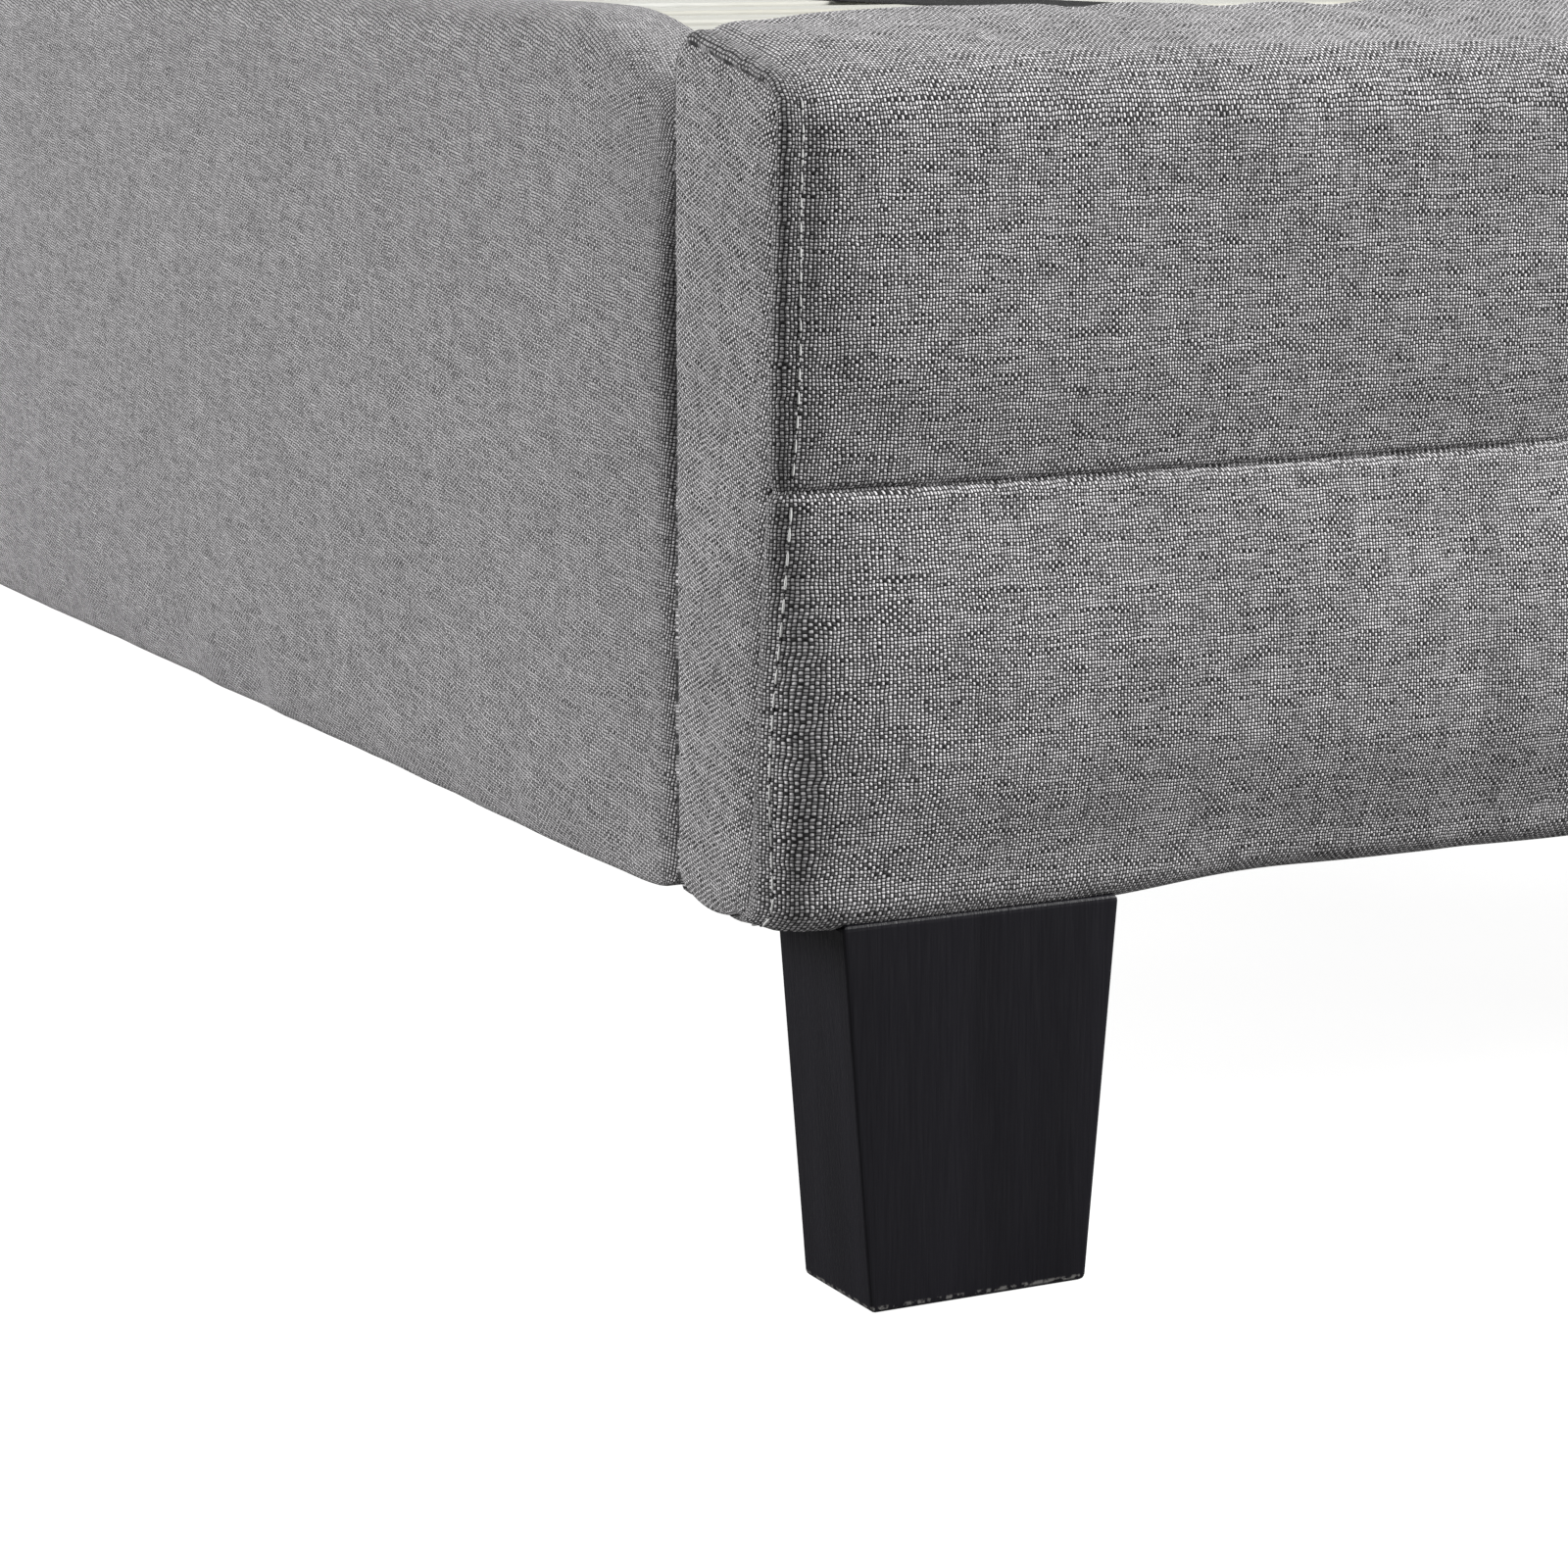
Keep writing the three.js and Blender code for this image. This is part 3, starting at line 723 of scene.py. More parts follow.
def speckled_material(name, colour, roughness, metallic=0.0, scale=900.0, depth=0.05 * MM):
    """Moulded plastic, powder coat or cast metal: one colour, slightly uneven."""
    material, tree, shader = start_material(name, roughness)
    place = object_place(tree)
    speckle = noise_node(tree, place, scale, 2.0)
    wide = noise_node(tree, place, 18.0, 3.0)
    tint = mixed(tree, remap(tree, wide, 0.3, 0.7), colour, [min(1, c * 1.35) for c in colour])
    tree.links.new(tint, shader.inputs["Base Color"])
    tree.links.new(remap(tree, speckle, 0.3, 0.7, roughness - 0.07, roughness + 0.07), shader.inputs["Roughness"])
    shader.inputs["Metallic"].default_value = metallic
    relief_of(tree, shader, speckle, depth)
    return material


def plywood_material():
    """Raw plywood: warm brown figure along X."""
    material, tree, shader = start_material("raw_plywood", 0.75)
    grain = placed_group(tree, group_named("long_grain", grain_group), object_place(tree), Stretch=8.0)
    colour = mixed(tree, remap(tree, grain.outputs["Figure"], 0.3, 0.7), (0.50, 0.36, 0.22), (0.36, 0.24, 0.13))
    tree.links.new(colour, shader.inputs["Base Color"])
    relief_of(tree, shader, grain.outputs["Fibre"], 0.15 * MM)
    return material


def webbing_material():
    """Black ribbed webbing."""
    material, tree, shader = start_material("black_webbing", 0.85)
    vector = mapped(tree, object_place(tree), (650, 650, 650))
    weave = placed_group(tree, group_named("plain_weave", weave_group), vector, Heather=0.2)
    colour = mixed(tree, weave.outputs["Shade"], (0.004, 0.004, 0.004), (0.03, 0.03, 0.032))
    tree.links.new(colour, shader.inputs["Base Color"])
    relief_of(tree, shader, weave.outputs["Height"], 0.3 * MM)
    return material


def material_named(name, build, *arguments, **values):
    return bpy.data.materials.get(name) or build(*arguments, **values)


def cover_linen():
    linen = bpy.context.scene.bed_linen
    name = "grey_linen"
    # This linen carries the painted shade along the end seams.
    return material_named(name, linen_material, name, linen, linen.light, linen.dark, shaded=True)


def panel_linen():
    """The same cloth cut on a slant, as on the end panels."""
    linen = bpy.context.scene.bed_linen
    light, dark = [c * 0.92 for c in linen.light], [c * 0.8 for c in linen.dark]
    name = "grey_linen_slanted"
    return material_named(name, linen_material, name, linen, light, dark, linen.slant)


def rail_linen():
    """The same cloth drawn tight along the rails, where its yarns lie flatter."""
    linen = bpy.context.scene.bed_linen
    light, dark = [c * 0.77 for c in linen.light], [c * 1.6 for c in linen.dark]
    name = "grey_linen_tight"
    return material_named(name, linen_material, name, linen, light, dark, linen.slant * 0.5, 0.55, 0.5, 0.95)


# Cloth

SWELL_FRAMES = 20
SWELL_PRESSURE = 4.0
SWELL_START = 2 * MM  # how far inside its place the cloth starts
SWELL_INNER = 12 * MM  # from the cloth's place to the still inner wall
SWELL_SUNK = 1 * MM  # the furthest that the cloth may sink
HEAD_ROWS_APART = 240 * MM  # between the headboard's two sewn rows, along the cloth


class Swell:
    """How far stuffed cloth rises between the lines where it is sewn down, at any (x, s) of a cover."""

    def __init__(self, name, outline, half, rows, spots, limit, pitch):
        nx, ns = int(2 * half / pitch) + 1, int(outline.length / pitch) + 1
        self.low = np.array([-half, 0.0])
        self.step = np.array([2 * half / (nx - 1), outline.length / (ns - 1)])
        x, s = np.meshgrid(-half + self.step[0] * np.arange(nx), self.step[1] * np.arange(ns), indexing="ij")
        edge = np.minimum(np.minimum(half - np.abs(x), s), outline.length - s)
        reach = [edge, *[np.abs(s - row) for row in rows]]
        reach += [np.maximum(np.hypot(x - cx, s - cs) - 10 * MM, 0) for cx, cs in spots]
        away = np.min(reach, axis=0)
        self.lift = self.blown(name, outline, x, s, away < pitch * 0.51, limit)

    def blown(self, name, outline, x, s, held, limit):
        """Runs a coarse cover under pressure from a slightly smaller start, its sewn lines held still.

        It returns the rise at each point, held to limit. The fine cover is raised by it.
        """
        base, normal = outline.at(s), outline.normal(s)
        start = base - normal * SWELL_START
        outer = np.stack([x * 0.997, start[..., 0], start[..., 1]], -1)
        deep = base - normal * SWELL_INNER
        inner = np.stack([x * 0.97, deep[..., 0], deep[..., 1]], -1)
        points, faces = shell(outer, inner)
        mesh = bpy.data.meshes.new(name)
        mesh.from_pydata(points.tolist(), [], faces)
        piece = bpy.data.objects.new(name, mesh)
        scene = bpy.context.scene
        scene.collection.objects.link(piece)
        group = piece.vertex_groups.new(name="sewn_down")
        fixed = np.r_[np.flatnonzero(held.ravel()), np.arange(x.size, 2 * x.size)]
        group.add([int(i) for i in fixed], 1.0, "REPLACE")
        cloth = piece.modifiers.new("cloth", "CLOTH")
        settings = cloth.settings
        settings.quality = 4
        settings.mass = 0.015
        settings.tension_stiffness = settings.compression_stiffness = 10
        settings.shear_stiffness = 3
        settings.bending_stiffness = 0.3
        settings.use_pressure = True
        settings.uniform_pressure_force = SWELL_PRESSURE
        settings.shrink_min = -0.006
        settings.vertex_group_mass = "sewn_down"
        settings.effector_weights.gravity = 0
        cloth.collision_settings.use_collision = False
        cloth.point_cache.frame_start, cloth.point_cache.frame_end = 1, SWELL_FRAMES
        for number in range(1, SWELL_FRAMES + 1):
            scene.frame_set(number)
        evaluated = piece.evaluated_get(bpy.context.evaluated_depsgraph_get())
        after = np.empty(len(mesh.vertices) * 3)
        evaluated.data.vertices.foreach_get("co", after)
        moved = after.reshape(-1, 3)[: x.size].reshape(*x.shape, 3) - outer
        rise = moved[..., 1] * normal[..., 0] + moved[..., 2] * normal[..., 1]
        scene.frame_set(1)
        bpy.data.objects.remove(piece)
        bpy.data.meshes.remove(mesh)
        return limit * np.tanh(np.maximum(rise, -SWELL_SUNK) / limit)

    def __call__(self, x, s):
        """The rise at (x, s), read smoothly between the points of the coarse cloth."""
        places = []
        for value, low, step, count in zip((x, s), self.low, self.step, self.lift.shape):
            at = np.clip((value - low) / step, 0, count - 1.000001)
            cell = at.astype(int)
            t = at - cell
            weights = (
                (-t + 2 * t**2 - t**3) / 2,
                (2 - 5 * t**2 + 3 * t**3) / 2,
                (t + 4 * t**2 - 3 * t**3) / 2,
                (t**3 - t**2) / 2,
            )
            places.append([(np.clip(cell + k - 1, 0, count - 1), w) for k, w in enumerate(weights)])
        return sum(wx * ws * self.lift[ix, js] for ix, wx in places[0] for js, ws in places[1])


@functools.lru_cache(maxsize=None)
def swell_of(kind, limit):
    """The swell of one kind of cover, worked out once."""
    if kind == "foot":
        outline = Outline(foot_section())
        seam = outline.where(middle("foot_button_1")[2])
        rows = [seam, outline.where(FOOT_BACK - 2 * MM, 0)]
        return Swell("foot_stuffing", outline, HALF, rows, button_centres("foot", seam), limit, 13 * MM)
    if kind == "head":
        outline = Outline(head_section())
        row = outline.where(middle("head_button_1")[2])
        rows = [row - HEAD_ROWS_APART, row]
        return Swell("head_stuffing", outline, HALF, rows, button_centres("head", row), limit, 20 * MM)
    outline = Outline(rail_section())
    half = (RAIL_HIGH[1] - RAIL_LOW[1]) / 2
    return Swell("rail_stuffing", outline, half, [], [], limit, 17 * MM)


# Operators


# Each lamp's place from the bed's front left corner, its size, and its share of the key power
LAMPS = {
    "right_softbox": ((4.3, -2.8, 3.1), 3.0, 1.0),
    "left_softbox": ((-4.6, 2.6, 2.4), 3.0, 0.69),
    "back_softbox": ((2.5, 7.5, 2.2), 3.0, 0.45),
}


class BED_OT_stage(bpy.types.Operator):
    """Camera, soft lights and a pale floor."""

    bl_idname = "bed.stage"
    bl_label = "Stage"

    def execute(self, context):
        stage = context.scene.bed_stage
        ahead = Vector(
            (
                -math.sin(stage.turn) * math.cos(stage.tilt),
                math.cos(stage.turn) * math.cos(stage.tilt),
                -math.sin(stage.tilt),
            )
        )
        aim = Vector((-HALF + stage.aim_inset, FRONT, stage.aim_height))
        data = bpy.data.cameras.new("camera")
        data.lens, data.sensor_width = stage.lens, 36
        data.clip_start, data.clip_end = 0.02, 60
        camera = bpy.data.objects.new("camera", data)
        camera.location = aim - ahead * stage.distance
        camera.rotation_euler = ahead.to_track_quat("-Z", "Y").to_euler()
        context.scene.collection.objects.link(camera)
        context.scene.camera = camera
        corner = Vector((-HALF, FRONT, 0.25))
        for name, (place, size, power) in LAMPS.items():
            self.light(context, name, corner + Vector(place), corner, size, power * stage.key)
        self.sky(context, stage.sky)
        context.scene.view_settings.view_transform = "Standard"
        self.floor(context)
        return {"FINISHED"}

    def sky(self, context, strength):
        """White to look at, and a dimmer even light on the bed."""
        world = bpy.data.worlds.new("studio")
        world.use_nodes = True
        tree = world.node_tree
        background = tree.nodes["Background"]
        path = tree.nodes.new("ShaderNodeLightPath")
        tree.links.new(remap(tree, path.outputs["Is Camera Ray"], 0, 1, strength, 1.0), background.inputs["Strength"])
        background.inputs["Color"].default_value = (1, 1, 1, 1)
        context.scene.world = world

    def light(self, context, name, place, aim, size, power):
        data = bpy.data.lights.new(name, "AREA")
        data.energy, data.size = power, size
        lamp = bpy.data.objects.new(name, data)
        lamp.visible_camera = False
        lamp.location = place
        lamp.rotation_euler = (Vector(aim) - Vector(place)).to_track_quat("-Z", "Y").to_euler()
        context.scene.collection.objects.link(lamp)

    def floor(self, context):
        """A floor that looks white and throws back only a little light."""
        material, tree, shader = start_material("studio_floor", 0.9)
        shader.inputs["Base Color"].default_value = (0.22, 0.22, 0.22, 1)
        shader.inputs["Specular IOR Level"].default_value = 0.0
        shader.inputs["Emission Color"].default_value = (1, 1, 1, 1)
        path = tree.nodes.new("ShaderNodeLightPath")
        tree.links.new(remap(tree, path.outputs["Is Camera Ray"], 0, 1, 0.0, 0.93), shader.inputs["Emission Strength"])
        reach, drop = 14.0, 0.2 * MM
        mesh = bpy.data.meshes.new("floor")
        corners = [(-reach, -reach, -drop), (reach, -reach, -drop), (reach, reach, -drop), (-reach, reach, -drop)]
        mesh.from_pydata(corners, [], [(0, 1, 2, 3)])
        mesh.materials.append(material)
        floor = bpy.data.objects.new("floor", mesh)
        context.scene.collection.objects.link(floor)


# How far the footboard's end seam stands back, as shares of the most, at heights over the skirt in millimetres
SEAM_HEIGHTS = (0, 20, 40, 69, 98, 128, 184, 239)
SEAM_SHARES = (1, 0.97, 0.9, 0.77, 0.57, 0.34, 0.2, 0)


def foot_cover():
    """The footboard's cover as a shape that can be read anywhere."""
    sewing = bpy.context.scene.bed_sewing
    outline = Outline(foot_section())
    seam = outline.where(middle("foot_button_1")[2])
    top = outline.where(FOOT_TOP - 26 * MM)
    back_turn = outline.where(FOOT_BACK - 1 * MM, 0)
    centres = button_centres("foot", seam)

    def lower(base):
        """1 low on the front face, 0 high on it, on the top and on the back."""
        on_front = base[..., 0] < FRONT + 20 * MM
        return np.where(on_front, np.interp((base[..., 1] - SKIRT) / MM, SEAM_HEIGHTS, SEAM_SHARES), 0)

    def drift(base):
        on_back = base[..., 0] > FOOT_BACK - 8 * MM
        return np.where(on_back, 0.4 * MM, 1.5 * MM + lower(base) * 15 * MM)

    def radius(base):
        return 2.5 * MM + lower(base) * 9.5 * MM

    def inset_at(s):
        return sewing.stitch_inset + 3.0 * MM * lower(outline.at(s))

    def relief(x, s, a):
        inset = inset_at(s)
        end = smoothstep(a, 0, 25 * MM)
        above, below = np.maximum(s - seam, 0), np.maximum(seam - s, 0)
        lift = -sewing.seam_dip * np.where(s > seam, np.exp(-above / (8 * MM)), np.exp(-below / (4.5 * MM)))
        lift += 1.1 * MM * bump(s - seam + 3.0 * MM, 1.8 * MM)
        lift -= sewing.seam_groove * bump(s - seam, 0.9 * MM)
        lift *= 0.5 + 0.5 * end
        lift += tufts(x, s, centres, sewing, 5)
        lift -= 1.0 * MM * bump(a - inset, 2.6 * MM)
        lift += 0.45 * MM * bump(a - inset * 0.45, 3.0 * MM)
        front = smoothstep(-s, -top - 40 * MM, -top + 10 * MM)
        fall = sewing.edge_fall * (1 + 0.9 * smoothstep(seam - s, 0, 60 * MM))
        fall *= 0.2 + 0.8 * smoothstep(s, 12 * MM, 60 * MM)
        lift += fall * (1 - np.exp(-a / (28 * MM))) * front
        crown = 4.5 * MM * (1 - np.exp(-a / (11 * MM))) + 3 * MM * (1 - np.exp(-a / (70 * MM)))
        lift += crown * (1 - front) * smoothstep(-s, -back_turn, -back_turn + 15 * MM)
        lift += 1.0 * MM * ripples(x, s, 170 * MM, 2) + 0.2 * MM * ripples(x, s, 34 * MM, 3)
        fullness = end * smoothstep(s, 8 * MM, 70 * MM) * smoothstep(np.abs(s - seam), -6 * MM, 42 * MM)
        lift += swell_of("foot", sewing.swell * 0.45)(x, s) * fullness
        fold = x - (-HALF + 238 * MM)
        lift -= 1.3 * MM * bump(fold + 0.12 * (s - seam / 2), 8 * MM) * bump(s - seam * 0.5, 45 * MM)
        lift += 0.8 * MM * ripples(x, s * 0, 90 * MM, 8) * bump(s, 30 * MM)
        lift += (1.2 * MM - 3.6 * MM * smoothstep(a, 95 * MM, 190 * MM)) * bump(s, 22 * MM)
        return lift

    return AcrossCover(outline, HALF - 0.5 * MM, drift, radius, relief, inset_at), seam, centres


def cover_stations(cover, coarse, centres, rows, fine_rows):
    half = cover.half
    near = [(-half, 1.1 * MM), (half, 1.1 * MM)] + [(cx, 3.0 * MM) for cx, _ in centres]
    across = stations(-half, half, coarse, near)
    along = stations(0, cover.outline.length, coarse, [(r, fine_rows) for r in rows])
    return across, along


class BED_OT_foot_cover(bpy.types.Operator):
    """The footboard's padded front, top and back in one cover."""

    bl_idname = "bed.foot_cover"
    bl_label = "Footboard cover"

    def execute(self, context):
        sewing = context.scene.bed_sewing
        cover, seam, centres = foot_cover()
        line = cover.outline
        turns = [line.where(FRONT + 2 * MM, 0), seam]
        bends = [line.where(FOOT_TOP - 20 * MM), line.where(FOOT_BACK - 3 * MM, 0)]
        across, along = cover_stations(cover, sewing.grid, centres, turns, 0.6 * MM)
        along = np.unique(np.round(np.r_[along, *[np.arange(b - 12 * MM, b + 20 * MM, 2 * MM) for b in bends]], 5))
        outer, uv = cover.grid(across, along)
        inner = outer.copy()
        wall = HALF - PANEL - 0.5 * MM
        core_low, core_high = low_high("foot_front_board"), low_high("foot_batten_top")
        inner[..., 0] = np.clip(inner[..., 0], -wall, wall)
        inner[..., 1] = np.clip(inner[..., 1], core_low[0][1] - 0.4 * MM, core_high[1][1] + 0.4 * MM)
        inner[..., 2] = np.clip(inner[..., 2], SKIRT + 0.3 * MM, core_high[1][2] + 0.4 * MM)
        piece = cover_piece("footboard_cover", outer, inner, uv, cover_linen())
        fit(piece, "linen", "foot_padding", fill=0.8)
        return {"FINISHED"}


def head_cover():
    """The headboard's cover as a shape that can be read anywhere."""
    sewing = bpy.context.scene.bed_sewing
    outline = Outline(head_section())
    row = outline.where(middle("head_button_1")[2])
    seams = [row - HEAD_ROWS_APART, row]
    centres = button_centres("head", row)

    def steady(value):
        return lambda base: np.full(base.shape[:-1], value)

    def relief(x, s, a):
        end = smoothstep(a, 0, 25 * MM)
        lift = sum(sewn_line(s - seam, sewing) for seam in seams) * (0.55 + 0.45 * end)
        lift += tufts(x, s, centres, sewing, 15)
        lift -= 0.9 * MM * bump(a - sewing.stitch_inset, 1.6 * MM)
        lift += 1.0 * MM * ripples(x, s, 190 * MM, 12) + 0.22 * MM * ripples(x, s, 36 * MM, 13)
        return lift + swell_of("head", sewing.swell)(x, s) * end

    cover = AcrossCover(
        outline, HALF - 0.5 * MM, steady(2 * MM), steady(4 * MM), relief, lambda s: sewing.stitch_inset + 0 * s
    )
    return cover, seams, centres


class BED_OT_head_cover(bpy.types.Operator):
    """The headboard's padded front, which goes over the roll."""

    bl_idname = "bed.head_cover"
    bl_label = "Headboard cover"

    def execute(self, context):
        sewing = context.scene.bed_sewing
        cover, seams, centres = head_cover()
        line = cover.outline
        rows = [line.where(HEAD_FRONT + 1 * MM, 0), *seams]
        across, along = cover_stations(cover, sewing.grid * 1.3, centres, rows, 1.2 * MM)
        outer, uv = cover.grid(across, along)
        base, normal = line.at(along), line.normal(along)
        core = base - normal * 13.6 * MM
        inner = np.empty_like(outer)
        wall = HALF - PANEL - 0.5 * MM
        inner[..., 0] = np.clip(outer[..., 0], -wall, wall)
        inner[..., 1:] = core[None]
        inner[..., 2] = np.maximum(inner[..., 2], SKIRT + 0.3 * MM)
        piece = cover_piece("headboard_cover", outer, inner, uv, cover_linen())
        fit(piece, "linen", "head_padding", fill=0.8)
        self.back(context)
        return {"FINISHED"}

    def back(self, context):
        """The thin cover that closes the headboard's back."""
        outline = Outline(back_section())
        half = HALF - 2 * MM
        x = stations(-half, half, 16 * MM, [(-half, 2 * MM), (half, 2 * MM)])
        s = stations(0, outline.length, 14 * MM, [(0, 2 * MM), (outline.length, 2 * MM)])
        grid_x, grid_s = np.meshgrid(x, s, indexing="ij")
        edge = np.minimum(np.minimum(half - np.abs(grid_x), grid_s), outline.length - grid_s)
        lift = 1.6 * MM * (1 - np.exp(-edge / (9 * MM))) + 0.5 * MM * ripples(grid_x, grid_s, 200 * MM, 21)
        base, normal = outline.at(grid_s), outline.normal(grid_s)
        flat = base + normal * (lift - 1.2 * MM)[..., None]
        outer = np.stack([grid_x, flat[..., 0], flat[..., 1]], -1)
        sunk = base - normal * 3.8 * MM
        inner = np.stack([np.clip(grid_x, -HALF + PANEL, HALF - PANEL), sunk[..., 0], sunk[..., 1]], -1)
        piece = cover_piece("headboard_back_cover", outer, inner, np.stack([grid_x, grid_s], -1), cover_linen())
        fit(piece, "linen", "head_back_panel")


def signed_distance(points, loop):
    """Distance of each point from a closed loop, and whether it lies inside."""
    a, b = loop, np.roll(loop, -1, axis=0)
    ab = b - a
    t = np.einsum("pij,ij->pi", points[:, None] - a[None], ab) / np.einsum("ij,ij->i", ab, ab)
    near = a[None] + np.clip(t, 0, 1)[..., None] * ab[None]
    distance = np.linalg.norm(points[:, None] - near, axis=2).min(axis=1)
    py, ay, by = points[:, None, 1], a[None, :, 1], b[None, :, 1]
    crosses = (ay > py) != (by > py)
    at = a[None, :, 0] + (py - ay) * ab[None, :, 0] / np.where(ab[None, :, 1] == 0, 1e-12, ab[None, :, 1])
    inside = (crosses & (points[:, None, 0] < at)).sum(axis=1) % 2 == 1
    return distance, inside


def filled_panel(loop, pitch):
    """Triangles that fill a closed loop, finer towards its edge, with each point's distance from the edge."""
    low, high = loop.min(axis=0), loop.max(axis=0)
    rings = []
    around = np.roll(loop, -1, axis=0) - np.roll(loop, 1, axis=0)
    around /= np.linalg.norm(around, axis=1, keepdims=True)
    area = (loop[:, 0] * np.roll(loop[:, 1], -1) - np.roll(loop[:, 0], -1) * loop[:, 1]).sum()
    inward = np.stack([-around[:, 1], around[:, 0]], -1) * (1 if area > 0 else -1)
    for offset in (1.0 * MM, 2.2 * MM, 4.0 * MM):
        ring = loop + inward * offset
        distance, inside = signed_distance(ring, loop)
        rings.append(ring[inside & (distance > offset * 0.92)])
    ys = np.arange(low[0], high[0], pitch)
    zs = np.arange(low[1], high[1], pitch)
    spots = np.array([(y + (k % 2) * pitch / 2, z) for k, z in enumerate(zs) for y in ys])
    distance, inside = signed_distance(spots, loop)
    rings.append(spots[inside & (distance > 6.0 * MM)])
    coords = [Vector(p) for p in np.concatenate([loop, *rings])]
    made = delaunay_2d_cdt(coords, [], [list(range(len(loop)))], 1, 1e-7)
    flat = np.array([tuple(v) for v in made[0]])
    distance, _ = signed_distance(flat, loop)
    place = {source: i for i, sources in enumerate(made[3]) for source in sources}
    rim = [place[i] for i in range(len(loop))]
    distance[rim] = 0
    return flat, [tuple(f) for f in made[2]], distance, rim


def end_panel(name, loop, side, crown, seed):
    """A padded panel sewn in along its whole edge, on the bed's left or right end."""
    flat, faces, distance, rim = filled_panel(loop, 6.5 * MM)
    sunk, out = HALF - 2.0 * MM, 2.0 * MM
    lift = out * (1 - np.exp(-distance / (3.0 * MM))) + crown * (1 - np.exp(-distance / (16 * MM)))
    lift += 0.3 * MM * ripples(flat[:, 0], flat[:, 1], 60 * MM, seed) * smoothstep(distance, 0, 8 * MM)
    outer = np.column_stack([side * (sunk + lift), flat])
    inner = np.column_stack([np.full(len(flat), side * (HALF - PANEL + 0.2 * MM)), flat])
    count = len(flat)
    after = rim[1:] + rim[:1]
    walls = [(b, a, a + count, b + count) for a, b in zip(rim, after)]
    turned = [tuple(i + count for i in reversed(f)) for f in faces]
    beside = next(f for f in faces if rim[0] in f and after[0] in f)
    if (beside.index(after[0]) - beside.index(rim[0])) % 3 != 1:
        walls = [tuple(reversed(w)) for w in walls]
    uv = np.concatenate([flat, flat])
    return make_piece(name, np.concatenate([outer, inner]), list(faces) + turned + walls, panel_linen(), uv)


def even_loop(points, pitch):
    """A closed loop resampled at an even pitch."""
    line = Outline([*points, points[0]])
    count = int(line.length / pitch)
    return line.at(np.linspace(0, line.length, count, endpoint=False))


class BED_OT_end_panels(bpy.types.Operator):
    """The sewn-in end panels of the footboard and the headboard."""

    bl_idname = "bed.end_panels"
    bl_label = "End panels"

    def execute(self, context):
        cover = foot_cover()[0]
        line = cover.outline
        s = np.linspace(line.where(SKIRT + 3 * MM), line.length - 12 * MM, 400)
        seam_line = cover.end_seam(s) - line.normal(s) * 0.3 * MM
        seam_line = seam_line[seam_line[:, 1] > SKIRT + 1.5 * MM]
        foot_loop = even_loop([*map(tuple, seam_line), *self.hem(seam_line[-1], seam_line[0])], 3.2 * MM)
        head = [*head_section(292), *back_section()[1:]]
        line = Outline(head)
        s = np.linspace(0, line.length, 900)
        head_line = line.at(s) - line.normal(s) * 2.2 * MM
        head_loop = even_loop([tuple(p) for p in head_line], 5.0 * MM)
        for side, sign in ENDS:
            piece = end_panel(f"footboard_end_{side}", foot_loop, sign, 1.2 * MM, 31 + sign)
            fit(piece, "linen", f"foot_gusset_{side}", fill=0.6)
            piece = end_panel(f"headboard_end_{side}", head_loop, sign, 2.0 * MM, 41 + sign)
            fit(piece, "linen", f"head_gusset_{side}", fill=0.6)
        return {"FINISHED"}

    def hem(self, back, front):
        """The footboard panel's slack lower edge, from its back corner to its front corner."""
        t = np.linspace(0, 1, 24)[1:-1]
        y = back[0] + (front[0] - back[0]) * t
        z = back[1] + (front[1] - back[1]) * t
        sag = 6.5 * MM * np.sin(math.pi * t**0.85) ** 0.75 + 2.5 * MM * bump(t - 1, 0.12)
        return list(zip(y, z - sag))


RAIL_END_DROP, RAIL_END_RUN = 24 * MM, 95 * MM  # how far a rail's top is pulled down at its ends, and over what run


